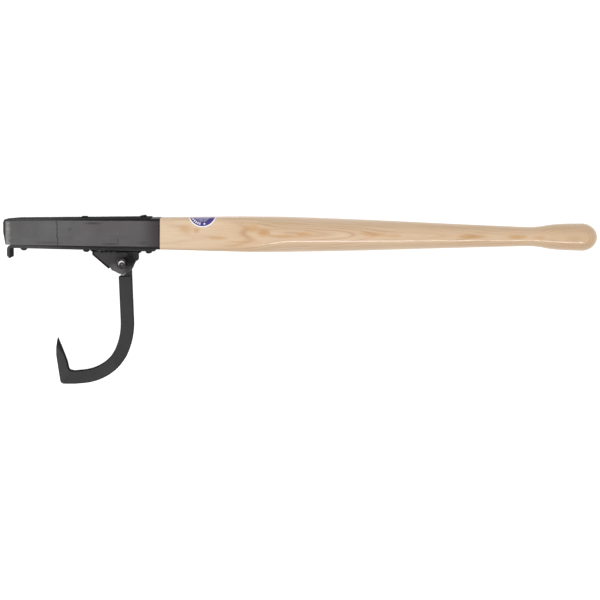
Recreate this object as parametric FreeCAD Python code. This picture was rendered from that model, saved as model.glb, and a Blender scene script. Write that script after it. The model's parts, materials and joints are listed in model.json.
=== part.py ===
import FreeCAD, Part
import math
import os

os.makedirs("parts", exist_ok=True)

V = FreeCAD.Vector

# Working frame, mm: X along the tool from the front end of the wood, Y up through the top strap,
# Z across the tool. The handle's axis is the X axis. Everything is moved to the row frame at the end.
tool_length = 914.4

# how far cutting shapes reach past the part
beyond = 60.0

# head of the handle
head_length = 240.0
head_front = {"width": 39.0, "top": 18.3, "bottom": -18.9, "corner": 1.0}
head_rear = {"width": 47.0, "top": 24.0, "bottom": -24.0, "corner": 5.5}
front_corner_radius = 4.5
front_set_back = 3.2

# swell behind the head: distance, width, height and corner radius
swell_sections = [
    (300.0, 49.2, 50.2, 6.2),
    (345.0, 51.4, 52.0, 8.0),
    (385.0, 53.6, 53.8, 14.0),
]
belly_at = 430.0
belly_diameter = 55.1

# round grip: distance and diameter
grip_stations = [
    (487.0, 52.4),
    (550.0, 48.6),
    (611.0, 44.1),
    (673.0, 39.4),
    (735.0, 34.8),
    (797.0, 30.6),
    (813.0, 30.1),
    (828.0, 33.2),
    (841.0, 37.8),
    (859.0, 41.1),
]
knob_diameter = 43.0
knob_end_length = 24.0

# straps
strap_width = 38.1
strap_edge_radius = 0.6
top_strap_thickness = 3.2
top_face_front = (20.0, 21.5)
top_face_rear = (226.5, 25.3)
top_nose = (1.5, 19.7)
toe_strap_thickness = 4.76
toe_face_front = (20.0, -23.9)
toe_face_rear = (229.0, -27.1)
toe_strap_end = 235.8
toe_end_bevel = 3.5
toe_lip_outer = 6.0
toe_lip_bottom = -39.6
toe_bend_radius = 7.0
toe_lip_bevel = (3.2, 4.0)

# rivets: distance at the top strap and at the toe strap
rivet_diameter = 6.35
rivet_hole_clearance = 0.1
rivet_places = {
    "rivet_front": (28.9, 29.4),
    "rivet_middle": (123.7, 125.7),
    "rivet_rear": (214.0, 222.5),
}
top_head_diameter = 10.4
top_head_height = 2.7
button_head_diameter = 10.8
button_head_height = 4.7

# hook bracket; its outline is measured from the pivot
pivot = (182.3, -46.2)
plate_thickness = 4.76
tongue_thickness = 9.5
tongue_side_gap = 0.4
nose_radius = 17.0
web_top = -46.9
web_bend = (-46.6, 12.1)
web_end = (-21.5, -9.3)
cheek_heel = [(-18.6, -7.2), (-16.2, -11.0)]
cheek_rear = 19.2
cheek_rear_low = 1.0
bracket_bend_radius = 4.0
stop_plate_low = 3.6
stop_plate_corner = 2.5
weld_leg = 4.0

# pivot bolt, 7/16 in, and its nylon-insert nut
bolt_diameter = 11.11
bolt_hole_clearance = 0.2
eye_clearance = 0.1
hex_across_flats = 15.9
bolt_head_height = 7.1
nut_hex_height = 8.6
nut_height = 11.7
nut_collar_diameter = 14.6
nut_thread_clearance = 0.05
insert_diameter = 13.2
insert_height = 2.4
bolt_end_stand_out = 1.6

# hook, measured from the pivot
bar_width = 20.4
bar_thickness = 12.7
bar_edge_radius = 1.2
shank_offset = 3.17
shank_lean = 2.4
shoulder_drop = 20.2
tongue_left = -3.7
shank_length = 70.0
bend_radii = [107.6, 66.4, 78.3]
bend_degrees = [24.6, 35.2, 27.1]
lower_leg = 13.3
corner_outer = (-96.6, -189.6)
point_arc = [(-103.1, -146.0), (-103.2, -133.0), (-101.4, -117.4)]
point_end = (-100.2, -117.4)
point_inner = (-86.7, -153.5)
corner_inner = (-83.6, -167.6)
corner_outer_radius = 5.0
corner_inner_radius = 3.0
point_bevel_length = 30.0
point_thickness = 5.0


def along(p, q, x):
    return p[1] + (q[1] - p[1]) * (x - p[0]) / (q[0] - p[0])


def tilt_of(p, q):
    return math.atan2(q[1] - p[1], q[0] - p[0])


def top_face(x):
    if x < top_face_front[0]:
        return along(top_nose, top_face_front, x)
    return along(top_face_front, top_face_rear, x)


def toe_face(x):
    return along(toe_face_front, toe_face_rear, x)


def toe_seat(x):
    return toe_face(x) + toe_strap_thickness / math.cos(tilt_of(toe_face_front, toe_face_rear))


def line(p, q):
    return Part.LineSegment(V(p[0], p[1], 0), V(q[0], q[1], 0)).toShape()


def arc(p, m, q):
    return Part.Arc(V(p[0], p[1], 0), V(m[0], m[1], 0), V(q[0], q[1], 0)).toShape()


def slab(edges, z0, z1):
    face = Part.Face(Part.Wire(Part.__sortEdges__(edges)))
    face.translate(V(0, 0, z0))
    return face.extrude(V(0, 0, z1 - z0))


def poly_edges(points, closed=True):
    ends = points[1:] + points[:1] if closed else points[1:]
    return [line(p, q) for p, q in zip(points, ends)]


def polygon(points, z0, z1):
    return slab(poly_edges(points), z0, z1)


def upright_edges_at(shape, places):
    found = []
    for edge in shape.Edges:
        a, b = edge.Vertexes[0].Point, edge.Vertexes[-1].Point
        if math.hypot(a.x - b.x, a.y - b.y) > 1e-6:
            continue
        if any(math.hypot(a.x - x, a.y - y) < 0.05 for x, y in places):
            found.append(edge)
    return found


def edges_in_planes(shape, levels, skip=None):
    found = []
    for edge in shape.Edges:
        box = edge.BoundBox
        if box.ZLength > 1e-6:
            continue
        if not any(abs(box.ZMin - z) < 1e-6 for z in levels):
            continue
        if skip and skip(edge):
            continue
        found.append(edge)
    return found


def section(x, width, top, bottom, corner):
    """Rounded rectangle across the handle: four flats and four corner arcs."""
    y0, y1, z = bottom + corner, top - corner, width / 2 - corner
    centres = [(y1, z, 0), (y1, -z, 90), (y0, -z, 180), (y0, z, 270)]
    edges = []
    rims = []
    for y, zc, start in centres:
        pts = []
        for step in (0, 45, 90):
            a = math.radians(start + step)
            pts.append(V(x, y + corner * math.sin(a), zc + corner * math.cos(a)))
        rims.append(pts)
    for i, pts in enumerate(rims):
        edges.append(Part.Arc(*pts).toShape())
        edges.append(Part.LineSegment(pts[2], rims[(i + 1) % 4][0]).toShape())
    return Part.Wire(edges)


def round_section(x, diameter, flat_angle=4.0):
    """Full circle cut into the same eight edges as section()."""
    r = diameter / 2
    edges = []
    for start in (0, 90, 180, 270):
        marks = [start + flat_angle / 2, start + 45, start + 90 - flat_angle / 2,
                 start + 90, start + 90 + flat_angle / 2]
        pts = [V(x, r * math.sin(math.radians(a)), r * math.cos(math.radians(a))) for a in marks]
        edges.append(Part.Arc(pts[0], pts[1], pts[2]).toShape())
        edges.append(Part.Arc(pts[2], pts[3], pts[4]).toShape())
    return Part.Wire(edges)


def with_true_planes(solid):
    """The same solid with its four lofted flats made again as planes."""
    faces = []
    for face in solid.Faces:
        corners = [v.Point for v in face.OuterWire.OrderedVertexes]
        flat = len(corners) == 4 and face.findPlane()
        faces.append(Part.Face(Part.makePolygon(corners + corners[:1])) if flat else face)
    shell = Part.makeShell(faces)
    shell.sewShape()
    solid = Part.makeSolid(shell)
    if solid.Volume < 0:
        solid.reverse()
    return solid


def quarter_ellipse(centre, x_reach, y_reach):
    """From +X to +Y of the centre: a quarter circle, stretched."""
    half = math.sqrt(0.5)
    quarter = Part.Arc(V(1, 0, 0), V(half, half, 0), V(0, 1, 0)).toShape()
    stretch = FreeCAD.Matrix()
    stretch.scale(x_reach, y_reach, 1)
    stretch.move(centre)
    return quarter.transformGeometry(stretch)


def grip():
    """Round part behind the belly: one spline outline and an elliptical knob end, turned about X."""
    knob_at = tool_length - knob_end_length
    stations = [(belly_at, belly_diameter)] + grip_stations + [(knob_at, knob_diameter)]
    outline = Part.BSplineCurve()
    outline.interpolate(Points=[V(x, d / 2, 0) for x, d in stations],
                        InitialTangent=V(1, 0, 0), FinalTangent=V(1, 0, 0))
    edges = [outline.toShape(), quarter_ellipse(V(knob_at, 0, 0), knob_end_length, knob_diameter / 2),
             line((tool_length, 0), (belly_at, 0)), line((belly_at, 0), (belly_at, belly_diameter / 2))]
    face = Part.Face(Part.Wire(Part.__sortEdges__(edges)))
    return face.revolve(V(0, 0, 0), V(1, 0, 0), 360)


def strap_seats():
    """Everything of the blank that the two straps and their bent ends take away."""
    top = [(x, top_face(x) - top_strap_thickness) for x in (-beyond, top_face_front[0], top_face_rear[0])]
    top += [(top_face_rear[0], beyond), (-beyond, beyond)]
    toe = [(x, toe_seat(x)) for x in (-beyond, toe_strap_end)]
    toe += [(toe_strap_end, -beyond), (-beyond, -beyond)]
    return polygon(top, -beyond, beyond).fuse(polygon(toe, -beyond, beyond))


def rivet_axis(name):
    x_top, x_toe = rivet_places[name]
    return V(x_top, top_face(x_top), 0), V(x_toe, toe_face(x_toe), 0)


def rivet_bore(name, clearance):
    start, end = rivet_axis(name)
    reach = (end - start).normalize() * rivet_diameter
    length = (end - start).Length + 2 * rivet_diameter
    return Part.makeCylinder(rivet_diameter / 2 + clearance, length, start - reach, end - start)


def handle():
    front = section(0, **head_front)
    rear = section(head_length, **head_rear)
    head = with_true_planes(Part.makeLoft([front, rear], True, True))
    rings = [rear]
    for x, width, height, corner in swell_sections:
        rings.append(section(x, width, height / 2, -height / 2, corner))
    rings.append(round_section(belly_at, belly_diameter))
    swell = Part.makeLoft(rings, True, False)
    body = head.fuse([swell, grip()]).removeSplitter()
    margin = 1.0
    half = head_front["width"] / 2 + margin
    plan = Part.makeBox(head_length, 2 * beyond, 2 * half, V(0, -beyond, -half))
    corners = [e for e in plan.Edges if e.BoundBox.YLength > beyond and e.BoundBox.XMax < margin]
    plan = plan.makeFillet(front_corner_radius + margin, corners)
    behind = front_corner_radius + 2 * margin
    rest = Part.makeBox(tool_length, 2 * beyond, 2 * beyond, V(behind, -beyond, -beyond))
    body = body.common(plan.fuse(rest))
    low = head_front["bottom"] - margin
    sloped = [(-beyond, 0), (0, 0), (front_set_back, low), (-beyond, low)]
    body = body.cut(polygon(sloped, -beyond, beyond))
    body = body.cut(strap_seats())
    for name in rivet_places:
        body = body.cut(rivet_bore(name, rivet_hole_clearance))
    return body


def strap_hole_cut(strap):
    for name in rivet_places:
        strap = strap.cut(rivet_bore(name, rivet_hole_clearance))
    return strap


def softened(strap):
    half = strap_width / 2
    return strap.makeFillet(strap_edge_radius, edges_in_planes(strap, (-half, half)))


def top_strap():
    xs = (top_nose[0], top_face_front[0], top_face_rear[0])
    upper = [(x, top_face(x)) for x in xs]
    lower = [(x, top_face(x) - top_strap_thickness) for x in reversed(xs)]
    strap = polygon(upper + lower, -strap_width / 2, strap_width / 2)
    return strap_hole_cut(softened(strap))


def toe_strap():
    ro = toe_bend_radius
    ri = ro - toe_strap_thickness
    cx = toe_lip_outer + ro
    tilt = tilt_of(toe_face_front, toe_face_rear)
    cy = toe_face(cx) - ri / math.cos(tilt)

    def rim(r, degrees):
        a = math.radians(degrees)
        return cx + r * math.cos(a), cy + r * math.sin(a)

    lean = math.degrees(tilt)
    bevel_x, bevel_y = toe_lip_bevel
    inner_x = cx - ri
    end_low = (toe_strap_end - toe_end_bevel, toe_face(toe_strap_end - toe_end_bevel))
    end_mid = (toe_strap_end, end_low[1] + toe_end_bevel)
    end_top = (toe_strap_end, toe_seat(toe_strap_end))
    edges = [
        arc(rim(ro, 180), rim(ro, 135 + lean / 2), rim(ro, 90 + lean)),
        line(rim(ro, 90 + lean), end_top),
        line(end_top, end_mid),
        line(end_mid, end_low),
        line(end_low, rim(ri, 90 + lean)),
        arc(rim(ri, 90 + lean), rim(ri, 135 + lean / 2), rim(ri, 180)),
        line(rim(ri, 180), (inner_x, toe_lip_bottom)),
        line((inner_x, toe_lip_bottom), (toe_lip_outer + bevel_x, toe_lip_bottom)),
        line((toe_lip_outer + bevel_x, toe_lip_bottom), (toe_lip_outer, toe_lip_bottom + bevel_y)),
        line((toe_lip_outer, toe_lip_bottom + bevel_y), rim(ro, 180)),
    ]
    strap = slab(edges, -strap_width / 2, strap_width / 2)
    return strap_hole_cut(softened(strap))


def turned(outline, place, direction):
    """Solid turned about its own axis: outline is (radius, height) from the axis up."""
    wire = Part.makePolygon([V(r, 0, h) for r, h in outline + outline[:1]])
    solid = Part.Face(wire).revolve(V(0, 0, 0), V(0, 0, 1), 360)
    solid.Placement = FreeCAD.Placement(place, FreeCAD.Rotation(V(0, 0, 1), direction))
    return solid


def button_head(place, direction):
    h, r = button_head_height, button_head_diameter / 2
    ball = (r * r + h * h) / (2 * h)
    dome = Part.makeSphere(ball, V(0, 0, h - ball))
    head = dome.common(Part.makeCylinder(r, h, V(0, 0, 0)))
    head.Placement = FreeCAD.Placement(place, FreeCAD.Rotation(V(0, 0, 1), direction))
    return head


def flat_head(place, direction):
    r, h = top_head_diameter / 2, top_head_height
    head = Part.makeCylinder(r, h)
    rim = [e for e in head.Edges if e.BoundBox.ZMin > h - 0.01]
    head = head.makeFillet(h * 0.6, rim)
    head.Placement = FreeCAD.Placement(place, FreeCAD.Rotation(V(0, 0, 1), direction))
    return head


def rivet(name):
    start, end = rivet_axis(name)
    shank = Part.makeCylinder(rivet_diameter / 2, (end - start).Length + 1.6,
                              start - (end - start).normalize() * 0.8, end - start)
    lean = tilt_of(top_face_front, top_face_rear)
    up = V(-math.sin(lean), math.cos(lean), 0)
    lean = tilt_of(toe_face_front, toe_face_rear)
    down = V(math.sin(lean), -math.cos(lean), 0)
    return shank.fuse([flat_head(start, up), button_head(end, down)]).removeSplitter()


def at_pivot(x, y):
    return pivot[0] + x, pivot[1] + y


def strap_level(x):
    """Height of the toe strap's under face at a distance from the pivot, measured from the pivot."""
    return toe_face(pivot[0] + x) - pivot[1]


def nose_point(degrees):
    a = math.radians(degrees)
    return nose_radius * math.cos(a), nose_radius * math.sin(a)


def web_inner():
    """Inner outline of the web, one plate thickness inside the outer one."""
    dx, dy = web_end[0] - web_bend[0], web_end[1] - web_bend[1]
    length = math.hypot(dx, dy)
    dx, dy = dx / length, dy / length
    end = (web_end[0] - dy * plate_thickness, web_end[1] + dx * plate_thickness)
    x = web_top + plate_thickness
    bend = (x, end[1] + dy * (x - end[0]) / dx)
    return end, bend, (x, strap_level(x))


def bracket_half_width():
    return tongue_thickness / 2 + tongue_side_gap + plate_thickness


def hook_bracket():
    w = bracket_half_width()
    gap = w - plate_thickness
    start = (web_top, strap_level(web_top))
    rear = (cheek_rear, strap_level(cheek_rear))
    meet = nose_point(-15)
    leave = nose_point(-110)
    points = [rear, start, web_bend, web_end] + cheek_heel + [leave]
    edges = poly_edges([at_pivot(*p) for p in points], closed=False)
    edges.append(arc(at_pivot(*leave), at_pivot(*nose_point(-62)), at_pivot(*meet)))
    tail = [meet, (cheek_rear, cheek_rear_low), rear]
    edges += poly_edges([at_pivot(*p) for p in tail], closed=False)
    body = slab(edges, -w, w)
    end, bend, top = web_inner()
    past = (end[0] + 3 * (web_end[0] - end[0]), end[1] + 3 * (web_end[1] - end[1]))
    above = strap_level(top[0]) + plate_thickness
    room = [top, bend, end, past, (beyond, -beyond), (beyond, above), (top[0], above)]
    body = body.cut(polygon([at_pivot(*p) for p in room], -gap, gap))
    outer = []
    for edge in edges_in_planes(body, (-w, w)):
        a, b = edge.Vertexes[0].Point, edge.Vertexes[-1].Point
        ends = [at_pivot(*web_bend), at_pivot(*web_end), at_pivot(*start)]
        if all(any(math.hypot(p.x - x, p.y - y) < 0.05 for x, y in ends) for p in (a, b)):
            outer.append(edge)
    body = body.makeFillet(bracket_bend_radius, outer)
    hole = Part.makeCylinder(bolt_diameter / 2 + bolt_hole_clearance, 2 * beyond, V(*pivot, -beyond))
    return body.cut(hole)


def stop_plate():
    w = bracket_half_width()
    x0, x1 = cheek_rear, cheek_rear + plate_thickness
    points = [(x0, strap_level(x0)), (x0, stop_plate_low), (x1, stop_plate_low), (x1, strap_level(x1))]
    plate = polygon([at_pivot(*p) for p in points], -w, w)
    corner = upright_edges_at(plate, [at_pivot(x1, stop_plate_low)])
    return plate.makeFillet(stop_plate_corner, corner)


def bead(start, end, out, up):
    """Fillet weld: a wedge with a rounded face between two plates, from start to end."""
    leg = weld_leg
    bulge = (out + up) * (leg * 0.62)
    face = Part.Face(Part.Wire([
        Part.LineSegment(start, start + out * leg).toShape(),
        Part.Arc(start + out * leg, start + bulge, start + up * leg).toShape(),
        Part.LineSegment(start + up * leg, start).toShape(),
    ]))
    return face.extrude(end - start)


def side_bead(side):
    w = bracket_half_width()
    x0, x1 = web_top + bracket_bend_radius, cheek_rear - 2.0
    start = V(*at_pivot(x0, strap_level(x0)), side * w)
    end = V(*at_pivot(x1, strap_level(x1)), side * w)
    return bead(start, end, V(0, 0, side), V(0, -1, 0))


def end_bead(x, direction):
    reach = bracket_half_width() - (bracket_bend_radius if direction < 0 else 1.0)
    slope = strap_level(x + direction) - strap_level(x)
    start = V(*at_pivot(x, strap_level(x)), -reach)
    end = V(*at_pivot(x, strap_level(x)), reach)
    out = V(direction, slope, 0)
    return bead(start, end, out.normalize(), V(0, -1, 0))


def hexagon(height, z0, chamfer_low, chamfer_high):
    """Hex prism with its corners turned off; two of its flats face -X and +X."""
    r = hex_across_flats / math.sqrt(3)
    pts = [V(r * math.cos(math.radians(30 + 60 * i)), r * math.sin(math.radians(30 + 60 * i)), 0)
           for i in range(6)]
    body = Part.Face(Part.makePolygon(pts + pts[:1])).extrude(V(0, 0, height))
    low = r - 1.0 if chamfer_low else r + 1
    high = r - 1.0 if chamfer_high else r + 1
    outline = [(0, 0), (low, 0), (r + 0.2, 0.7 if chamfer_low else 0),
               (r + 0.2, height - (0.7 if chamfer_high else 0)), (high, height), (0, height)]
    if not chamfer_low:
        outline.pop(1)
    if not chamfer_high:
        outline.pop(-2)
    body = body.common(turned(outline, V(0, 0, 0), V(0, 0, 1)))
    body.translate(V(*pivot, z0))
    return body


def pivot_bolt():
    w = bracket_half_width()
    end = w + nut_height + bolt_end_stand_out
    shank = Part.makeCylinder(bolt_diameter / 2, end + w, V(*pivot, -w))
    tip = [e for e in shank.Edges if e.BoundBox.ZMin > end - 0.01]
    shank = shank.makeChamfer(1.0, tip)
    return shank.fuse(hexagon(bolt_head_height, -w - bolt_head_height, True, False)).removeSplitter()


def lock_nut():
    w = bracket_half_width()
    body = hexagon(nut_hex_height, w, False, True)
    collar = Part.makeCylinder(nut_collar_diameter / 2, nut_height - nut_hex_height + 1,
                               V(*pivot, w + nut_hex_height - 1))
    rim = [e for e in collar.Edges if e.BoundBox.ZMin > w + nut_height - 0.01]
    collar = collar.makeFillet(1.2, rim)
    body = body.fuse(collar).removeSplitter()
    bore = Part.makeCylinder(bolt_diameter / 2 + nut_thread_clearance, beyond, V(*pivot, 0))
    seat = Part.makeCylinder(insert_diameter / 2, insert_height, V(*pivot, w + nut_height - insert_height - 0.4))
    mouth = Part.makeCylinder(insert_diameter / 2 - 0.5, 2, V(*pivot, w + nut_height - 1))
    return body.cut(bore).cut(seat).cut(mouth)


def nylon_insert():
    z0 = bracket_half_width() + nut_height - insert_height - 0.4
    ring = Part.makeCylinder(insert_diameter / 2, insert_height, V(*pivot, z0))
    return ring.cut(Part.makeCylinder(bolt_diameter / 2 + nut_thread_clearance, beyond, V(*pivot, 0)))


def bar_sides():
    """The bar's two long sides: straight shank, three bends and the lower leg, as edges."""
    heading = math.radians(-90 + shank_lean)
    d = (math.cos(heading), math.sin(heading))
    side = (-d[1], d[0])
    x = side[0] * shank_offset + d[0] * shoulder_drop
    y = side[1] * shank_offset + d[1] * shoulder_drop
    half = bar_width / 2
    outer, inner = [], []

    def offset(px, py, angle, k):
        return at_pivot(px - math.sin(angle) * k, py + math.cos(angle) * k)

    def straight(length):
        nonlocal x, y
        nx, ny = x + math.cos(heading) * length, y + math.sin(heading) * length
        for edges, k in ((outer, half), (inner, -half)):
            edges.append(line(offset(x, y, heading, k), offset(nx, ny, heading, k)))
        x, y = nx, ny

    def bend(radius, degrees):
        nonlocal x, y, heading
        cx, cy = x + math.sin(heading) * radius, y - math.cos(heading) * radius
        turn = math.radians(degrees)
        marks = [heading - turn * t for t in (0, 0.5, 1)]
        spots = [(cx - math.sin(a) * radius, cy + math.cos(a) * radius) for a in marks]
        for edges, k in ((outer, half), (inner, -half)):
            edges.append(arc(*[offset(px, py, a, k) for (px, py), a in zip(spots, marks)]))
        heading = marks[2]
        x, y = spots[2]

    straight(shank_length)
    for radius, degrees in zip(bend_radii, bend_degrees):
        bend(radius, degrees)
    straight(lower_leg)
    ends = (offset(x, y, heading, half), offset(x, y, heading, -half))
    return outer, inner, ends


def hook_bar():
    outer, inner, (low, high) = bar_sides()
    start, mid, end = [at_pivot(*p) for p in point_arc]
    edges = list(outer)
    edges += poly_edges([low, at_pivot(*corner_outer), start], closed=False)
    edges.append(arc(start, mid, end))
    tail = [end, at_pivot(*point_end), at_pivot(*point_inner), at_pivot(*corner_inner), high]
    edges += poly_edges(tail, closed=False)
    edges += inner
    a = outer[0].Vertexes[0].Point
    b = inner[0].Vertexes[0].Point
    edges.append(line((a.x, a.y), (b.x, b.y)))
    half = bar_thickness / 2
    bar = slab(edges, -half, half)
    bar = bar.makeFillet(corner_outer_radius, upright_edges_at(bar, [at_pivot(*corner_outer)]))
    bar = bar.makeFillet(corner_inner_radius, upright_edges_at(bar, [at_pivot(*corner_inner)]))
    shoulder = min(a.y, b.y) - abs(a.y - b.y)
    point_foot = pivot[1] + (point_inner[1] + point_arc[0][1]) / 2
    point_side = pivot[0] + corner_inner[0]

    def leave_sharp(edge):
        box = edge.BoundBox
        return box.YMin > shoulder or (box.YMax > point_foot and box.XMax < point_side)

    return bar.makeFillet(bar_edge_radius, edges_in_planes(bar, (-half, half), leave_sharp))


def sharpened(bar):
    """Both flat sides of the point ground to a thinner end."""
    half = bar_thickness / 2
    top = pivot[1] + point_end[1]
    x0 = pivot[0] + point_arc[1][0] - bar_width / 2
    for side in (-1, 1):
        pts = [V(x0, top - point_bevel_length, side * half), V(x0, top, side * point_thickness / 2),
               V(x0, top + beyond, side * point_thickness / 2), V(x0, top + beyond, side * beyond),
               V(x0, top - point_bevel_length, side * beyond)]
        wedge = Part.Face(Part.makePolygon(pts + pts[:1])).extrude(V(2 * bar_width, 0, 0))
        bar = bar.cut(wedge)
    return bar


def tongue():
    """Eye and narrow neck of the hook, thin enough to turn between the cheeks."""
    radius = bar_width / 2 + shank_offset
    half = tongue_thickness / 2
    eye = Part.makeCylinder(radius, tongue_thickness, V(0, 0, -half))
    neck = Part.makeBox(radius - tongue_left, shoulder_drop + 4, tongue_thickness,
                        V(tongue_left, -shoulder_drop - 4, -half))
    body = eye.fuse(neck).removeSplitter()
    body.rotate(V(0, 0, 0), V(0, 0, 1), shank_lean)
    body.translate(V(*pivot, 0))
    return body


def hook():
    body = sharpened(hook_bar()).fuse(tongue()).removeSplitter()
    bore = Part.makeCylinder(bolt_diameter / 2 + eye_clearance, 2 * beyond, V(*pivot, -beyond))
    return body.cut(bore)


def build():
    nodes = {"handle": handle(), "top_strap": top_strap(), "toe_strap": toe_strap()}
    for name in rivet_places:
        nodes[name] = rivet(name)
    nodes["hook_bracket"] = hook_bracket()
    nodes["stop_plate"] = stop_plate()
    nodes["weld_front"] = end_bead(web_top, -1)
    nodes["weld_near"] = side_bead(1)
    nodes["weld_far"] = side_bead(-1)
    nodes["weld_rear"] = end_bead(cheek_rear + plate_thickness, 1)
    nodes["pivot_bolt"] = pivot_bolt()
    nodes["lock_nut"] = lock_nut()
    nodes["nylon_insert"] = nylon_insert()
    nodes["hook"] = hook()
    return nodes


nodes = build()
whole = Part.makeCompound(list(nodes.values()))
box = whole.optimalBoundingBox(False)
shift = V(-(box.XMin + box.XMax) / 2, -(box.YMin + box.YMax) / 2, -box.ZMin)
for name, shape in nodes.items():
    shape.translate(shift)
    shape.exportStep("parts/" + name + ".step")
    print(name, len(shape.Solids), shape.isValid(), round(shape.Volume, 1))
print("box", [round(v, 3) for v in (box.XLength, box.YLength, box.ZLength)])
print("pivot", [round(v, 3) for v in (pivot[0] + shift.x, pivot[1] + shift.y, shift.z)])
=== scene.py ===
import bpy
import bmesh
import json
import math
from mathutils import Vector, Matrix, noise


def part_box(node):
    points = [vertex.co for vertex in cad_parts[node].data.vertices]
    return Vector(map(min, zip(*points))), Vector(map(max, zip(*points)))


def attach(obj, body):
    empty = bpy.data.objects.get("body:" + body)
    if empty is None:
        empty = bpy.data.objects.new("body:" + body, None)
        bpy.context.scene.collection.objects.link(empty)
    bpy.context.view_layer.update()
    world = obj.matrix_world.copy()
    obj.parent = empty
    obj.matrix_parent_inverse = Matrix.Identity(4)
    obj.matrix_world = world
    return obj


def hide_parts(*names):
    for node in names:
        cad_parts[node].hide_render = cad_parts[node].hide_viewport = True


noise.seed_set(5)

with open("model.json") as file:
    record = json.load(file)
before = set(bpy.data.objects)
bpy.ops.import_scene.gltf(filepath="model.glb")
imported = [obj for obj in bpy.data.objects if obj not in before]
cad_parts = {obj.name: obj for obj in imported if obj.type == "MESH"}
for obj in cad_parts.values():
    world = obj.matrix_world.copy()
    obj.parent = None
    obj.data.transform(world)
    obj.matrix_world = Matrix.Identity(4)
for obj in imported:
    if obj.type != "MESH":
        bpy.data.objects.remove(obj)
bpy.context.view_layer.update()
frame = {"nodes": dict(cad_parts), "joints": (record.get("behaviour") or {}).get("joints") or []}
print("frame loaded:", len(frame["nodes"]), "CAD nodes")

# where the tool lies: front end of the wood on the handle's centre line, and the hook's pin
handleLow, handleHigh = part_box("handle")
frontEnd = Vector((handleLow.x, (handleLow.y + handleHigh.y) / 2, (handleLow.z + handleHigh.z) / 2))
pin = Vector(next(j["pos_m"] for j in frame["joints"] if j["name"] == "hook_swing"))
toolLength = handleHigh.x - handleLow.x


def onTool(along, up, out=0.0):  # a point measured from the front end of the wood
    return frontEnd + Vector((along, up, out))


def fromPin(along, up, out=0.0):  # a point measured from the hook's pin
    return pin + Vector((along, up, out))


# shader helpers

def tone(red, green, blue):  # a colour read off a picture, 0 to 255, as the shader wants it
    def linear(c):
        c /= 255
        return c / 12.92 if c <= 0.04045 else ((c + 0.055) / 1.055) ** 2.4
    return (linear(red), linear(green), linear(blue), 1.0)


def addNode(tree, kind, inputs=None, **settings):
    made = tree.nodes.new("ShaderNode" + kind)
    for key, value in settings.items():
        setattr(made, key, value)
    for socket, value in (inputs or {}).items():
        feed(tree, value, made.inputs[socket])
    return made


def feed(tree, value, socket):  # a socket gets a link, anything else is set as its value
    if isinstance(value, bpy.types.NodeSocket):
        tree.links.new(value, socket)
    else:
        socket.default_value = value


def calc(tree, operation, a, b=0.0, c=0.0, clamp=False):
    return addNode(tree, "Math", {0: a, 1: b, 2: c}, operation=operation, use_clamp=clamp).outputs[0]


def vecCalc(tree, operation, a, b=(0, 0, 0), out=0):
    return addNode(tree, "VectorMath", {0: a, 1: b}, operation=operation).outputs[out]


def axisOf(tree, vector, axis):
    return addNode(tree, "SeparateXYZ", {0: vector}).outputs[axis]


def normalAlong(tree, axis):
    return axisOf(tree, addNode(tree, "TexCoord").outputs["Normal"], axis)


def lengthOf(tree, vector):
    return vecCalc(tree, "LENGTH", vector, out="Value")


def reachFrom(tree, place, middle, size):  # 0 in the middle of an oval patch, 1 at its rim
    return lengthOf(tree, vecCalc(tree, "DIVIDE", vecCalc(tree, "SUBTRACT", place, middle), size))


def fade(tree, value, low, high, toLow=0.0, toHigh=1.0, kind="SMOOTHSTEP"):
    inputs = {"Value": value, "From Min": low, "From Max": high, "To Min": toLow, "To Max": toHigh}
    return addNode(tree, "MapRange", inputs, interpolation_type=kind).outputs[0]


def grainNoise(tree, vector, scale, detail=2.0, rough=0.5, distort=0.0):
    inputs = {"Vector": vector, "Scale": scale, "Detail": detail, "Roughness": rough, "Distortion": distort}
    return addNode(tree, "TexNoise", inputs).outputs["Fac"]


def stretch(tree, vector, factors):
    return addNode(tree, "Mapping", {"Vector": vector, "Scale": factors}).outputs[0]


def alongGrain(tree, place, lengthwise, across, detail=3.0, rough=0.5):  # noise drawn out along the tool
    return grainNoise(tree, stretch(tree, place, (lengthwise, across, across)), 1.0, detail, rough)


def mixTone(tree, amount, a, b, blend="MIX"):
    made = addNode(tree, "Mix", data_type="RGBA", blend_type=blend)
    feed(tree, amount, made.inputs[0])
    feed(tree, a, made.inputs[6])
    feed(tree, b, made.inputs[7])
    return made.outputs[2]


def mixValue(tree, amount, a, b):
    return addNode(tree, "Mix", {0: amount, 2: a, 3: b}).outputs[0]


def shadeBy(tree, colour, value):
    grey = addNode(tree, "CombineColor", {0: value, 1: value, 2: value}).outputs[0]
    return mixTone(tree, 1.0, colour, grey, "MULTIPLY")


def ramp(tree, value, stops):
    made = addNode(tree, "ValToRGB", {"Fac": value})
    marks = made.color_ramp.elements
    while len(marks) < len(stops):
        marks.new(0.5)
    for mark, (place, grey) in zip(marks, stops):
        mark.position = place
        mark.color = (grey, grey, grey, 1.0)
    return made.outputs[0]


def newGroup(name, inputs, outputs):
    tree = bpy.data.node_groups.new(name, "ShaderNodeTree")
    kinds = {"vector": "NodeSocketVector", "value": "NodeSocketFloat", "color": "NodeSocketColor"}
    for label, kind, value in inputs:
        socket = tree.interface.new_socket(name=label, in_out="INPUT", socket_type=kinds[kind])
        if value is not None:
            socket.default_value = value
    for label, kind in outputs:
        tree.interface.new_socket(name=label, in_out="OUTPUT", socket_type=kinds[kind])
    return tree, tree.nodes.new("NodeGroupInput").outputs, tree.nodes.new("NodeGroupOutput").inputs


def useGroup(tree, group, inputs):
    made = tree.nodes.new("ShaderNodeGroup")
    made.node_tree = group
    for label, value in inputs.items():
        feed(tree, value, made.inputs[label])
    return made.outputs


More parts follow.
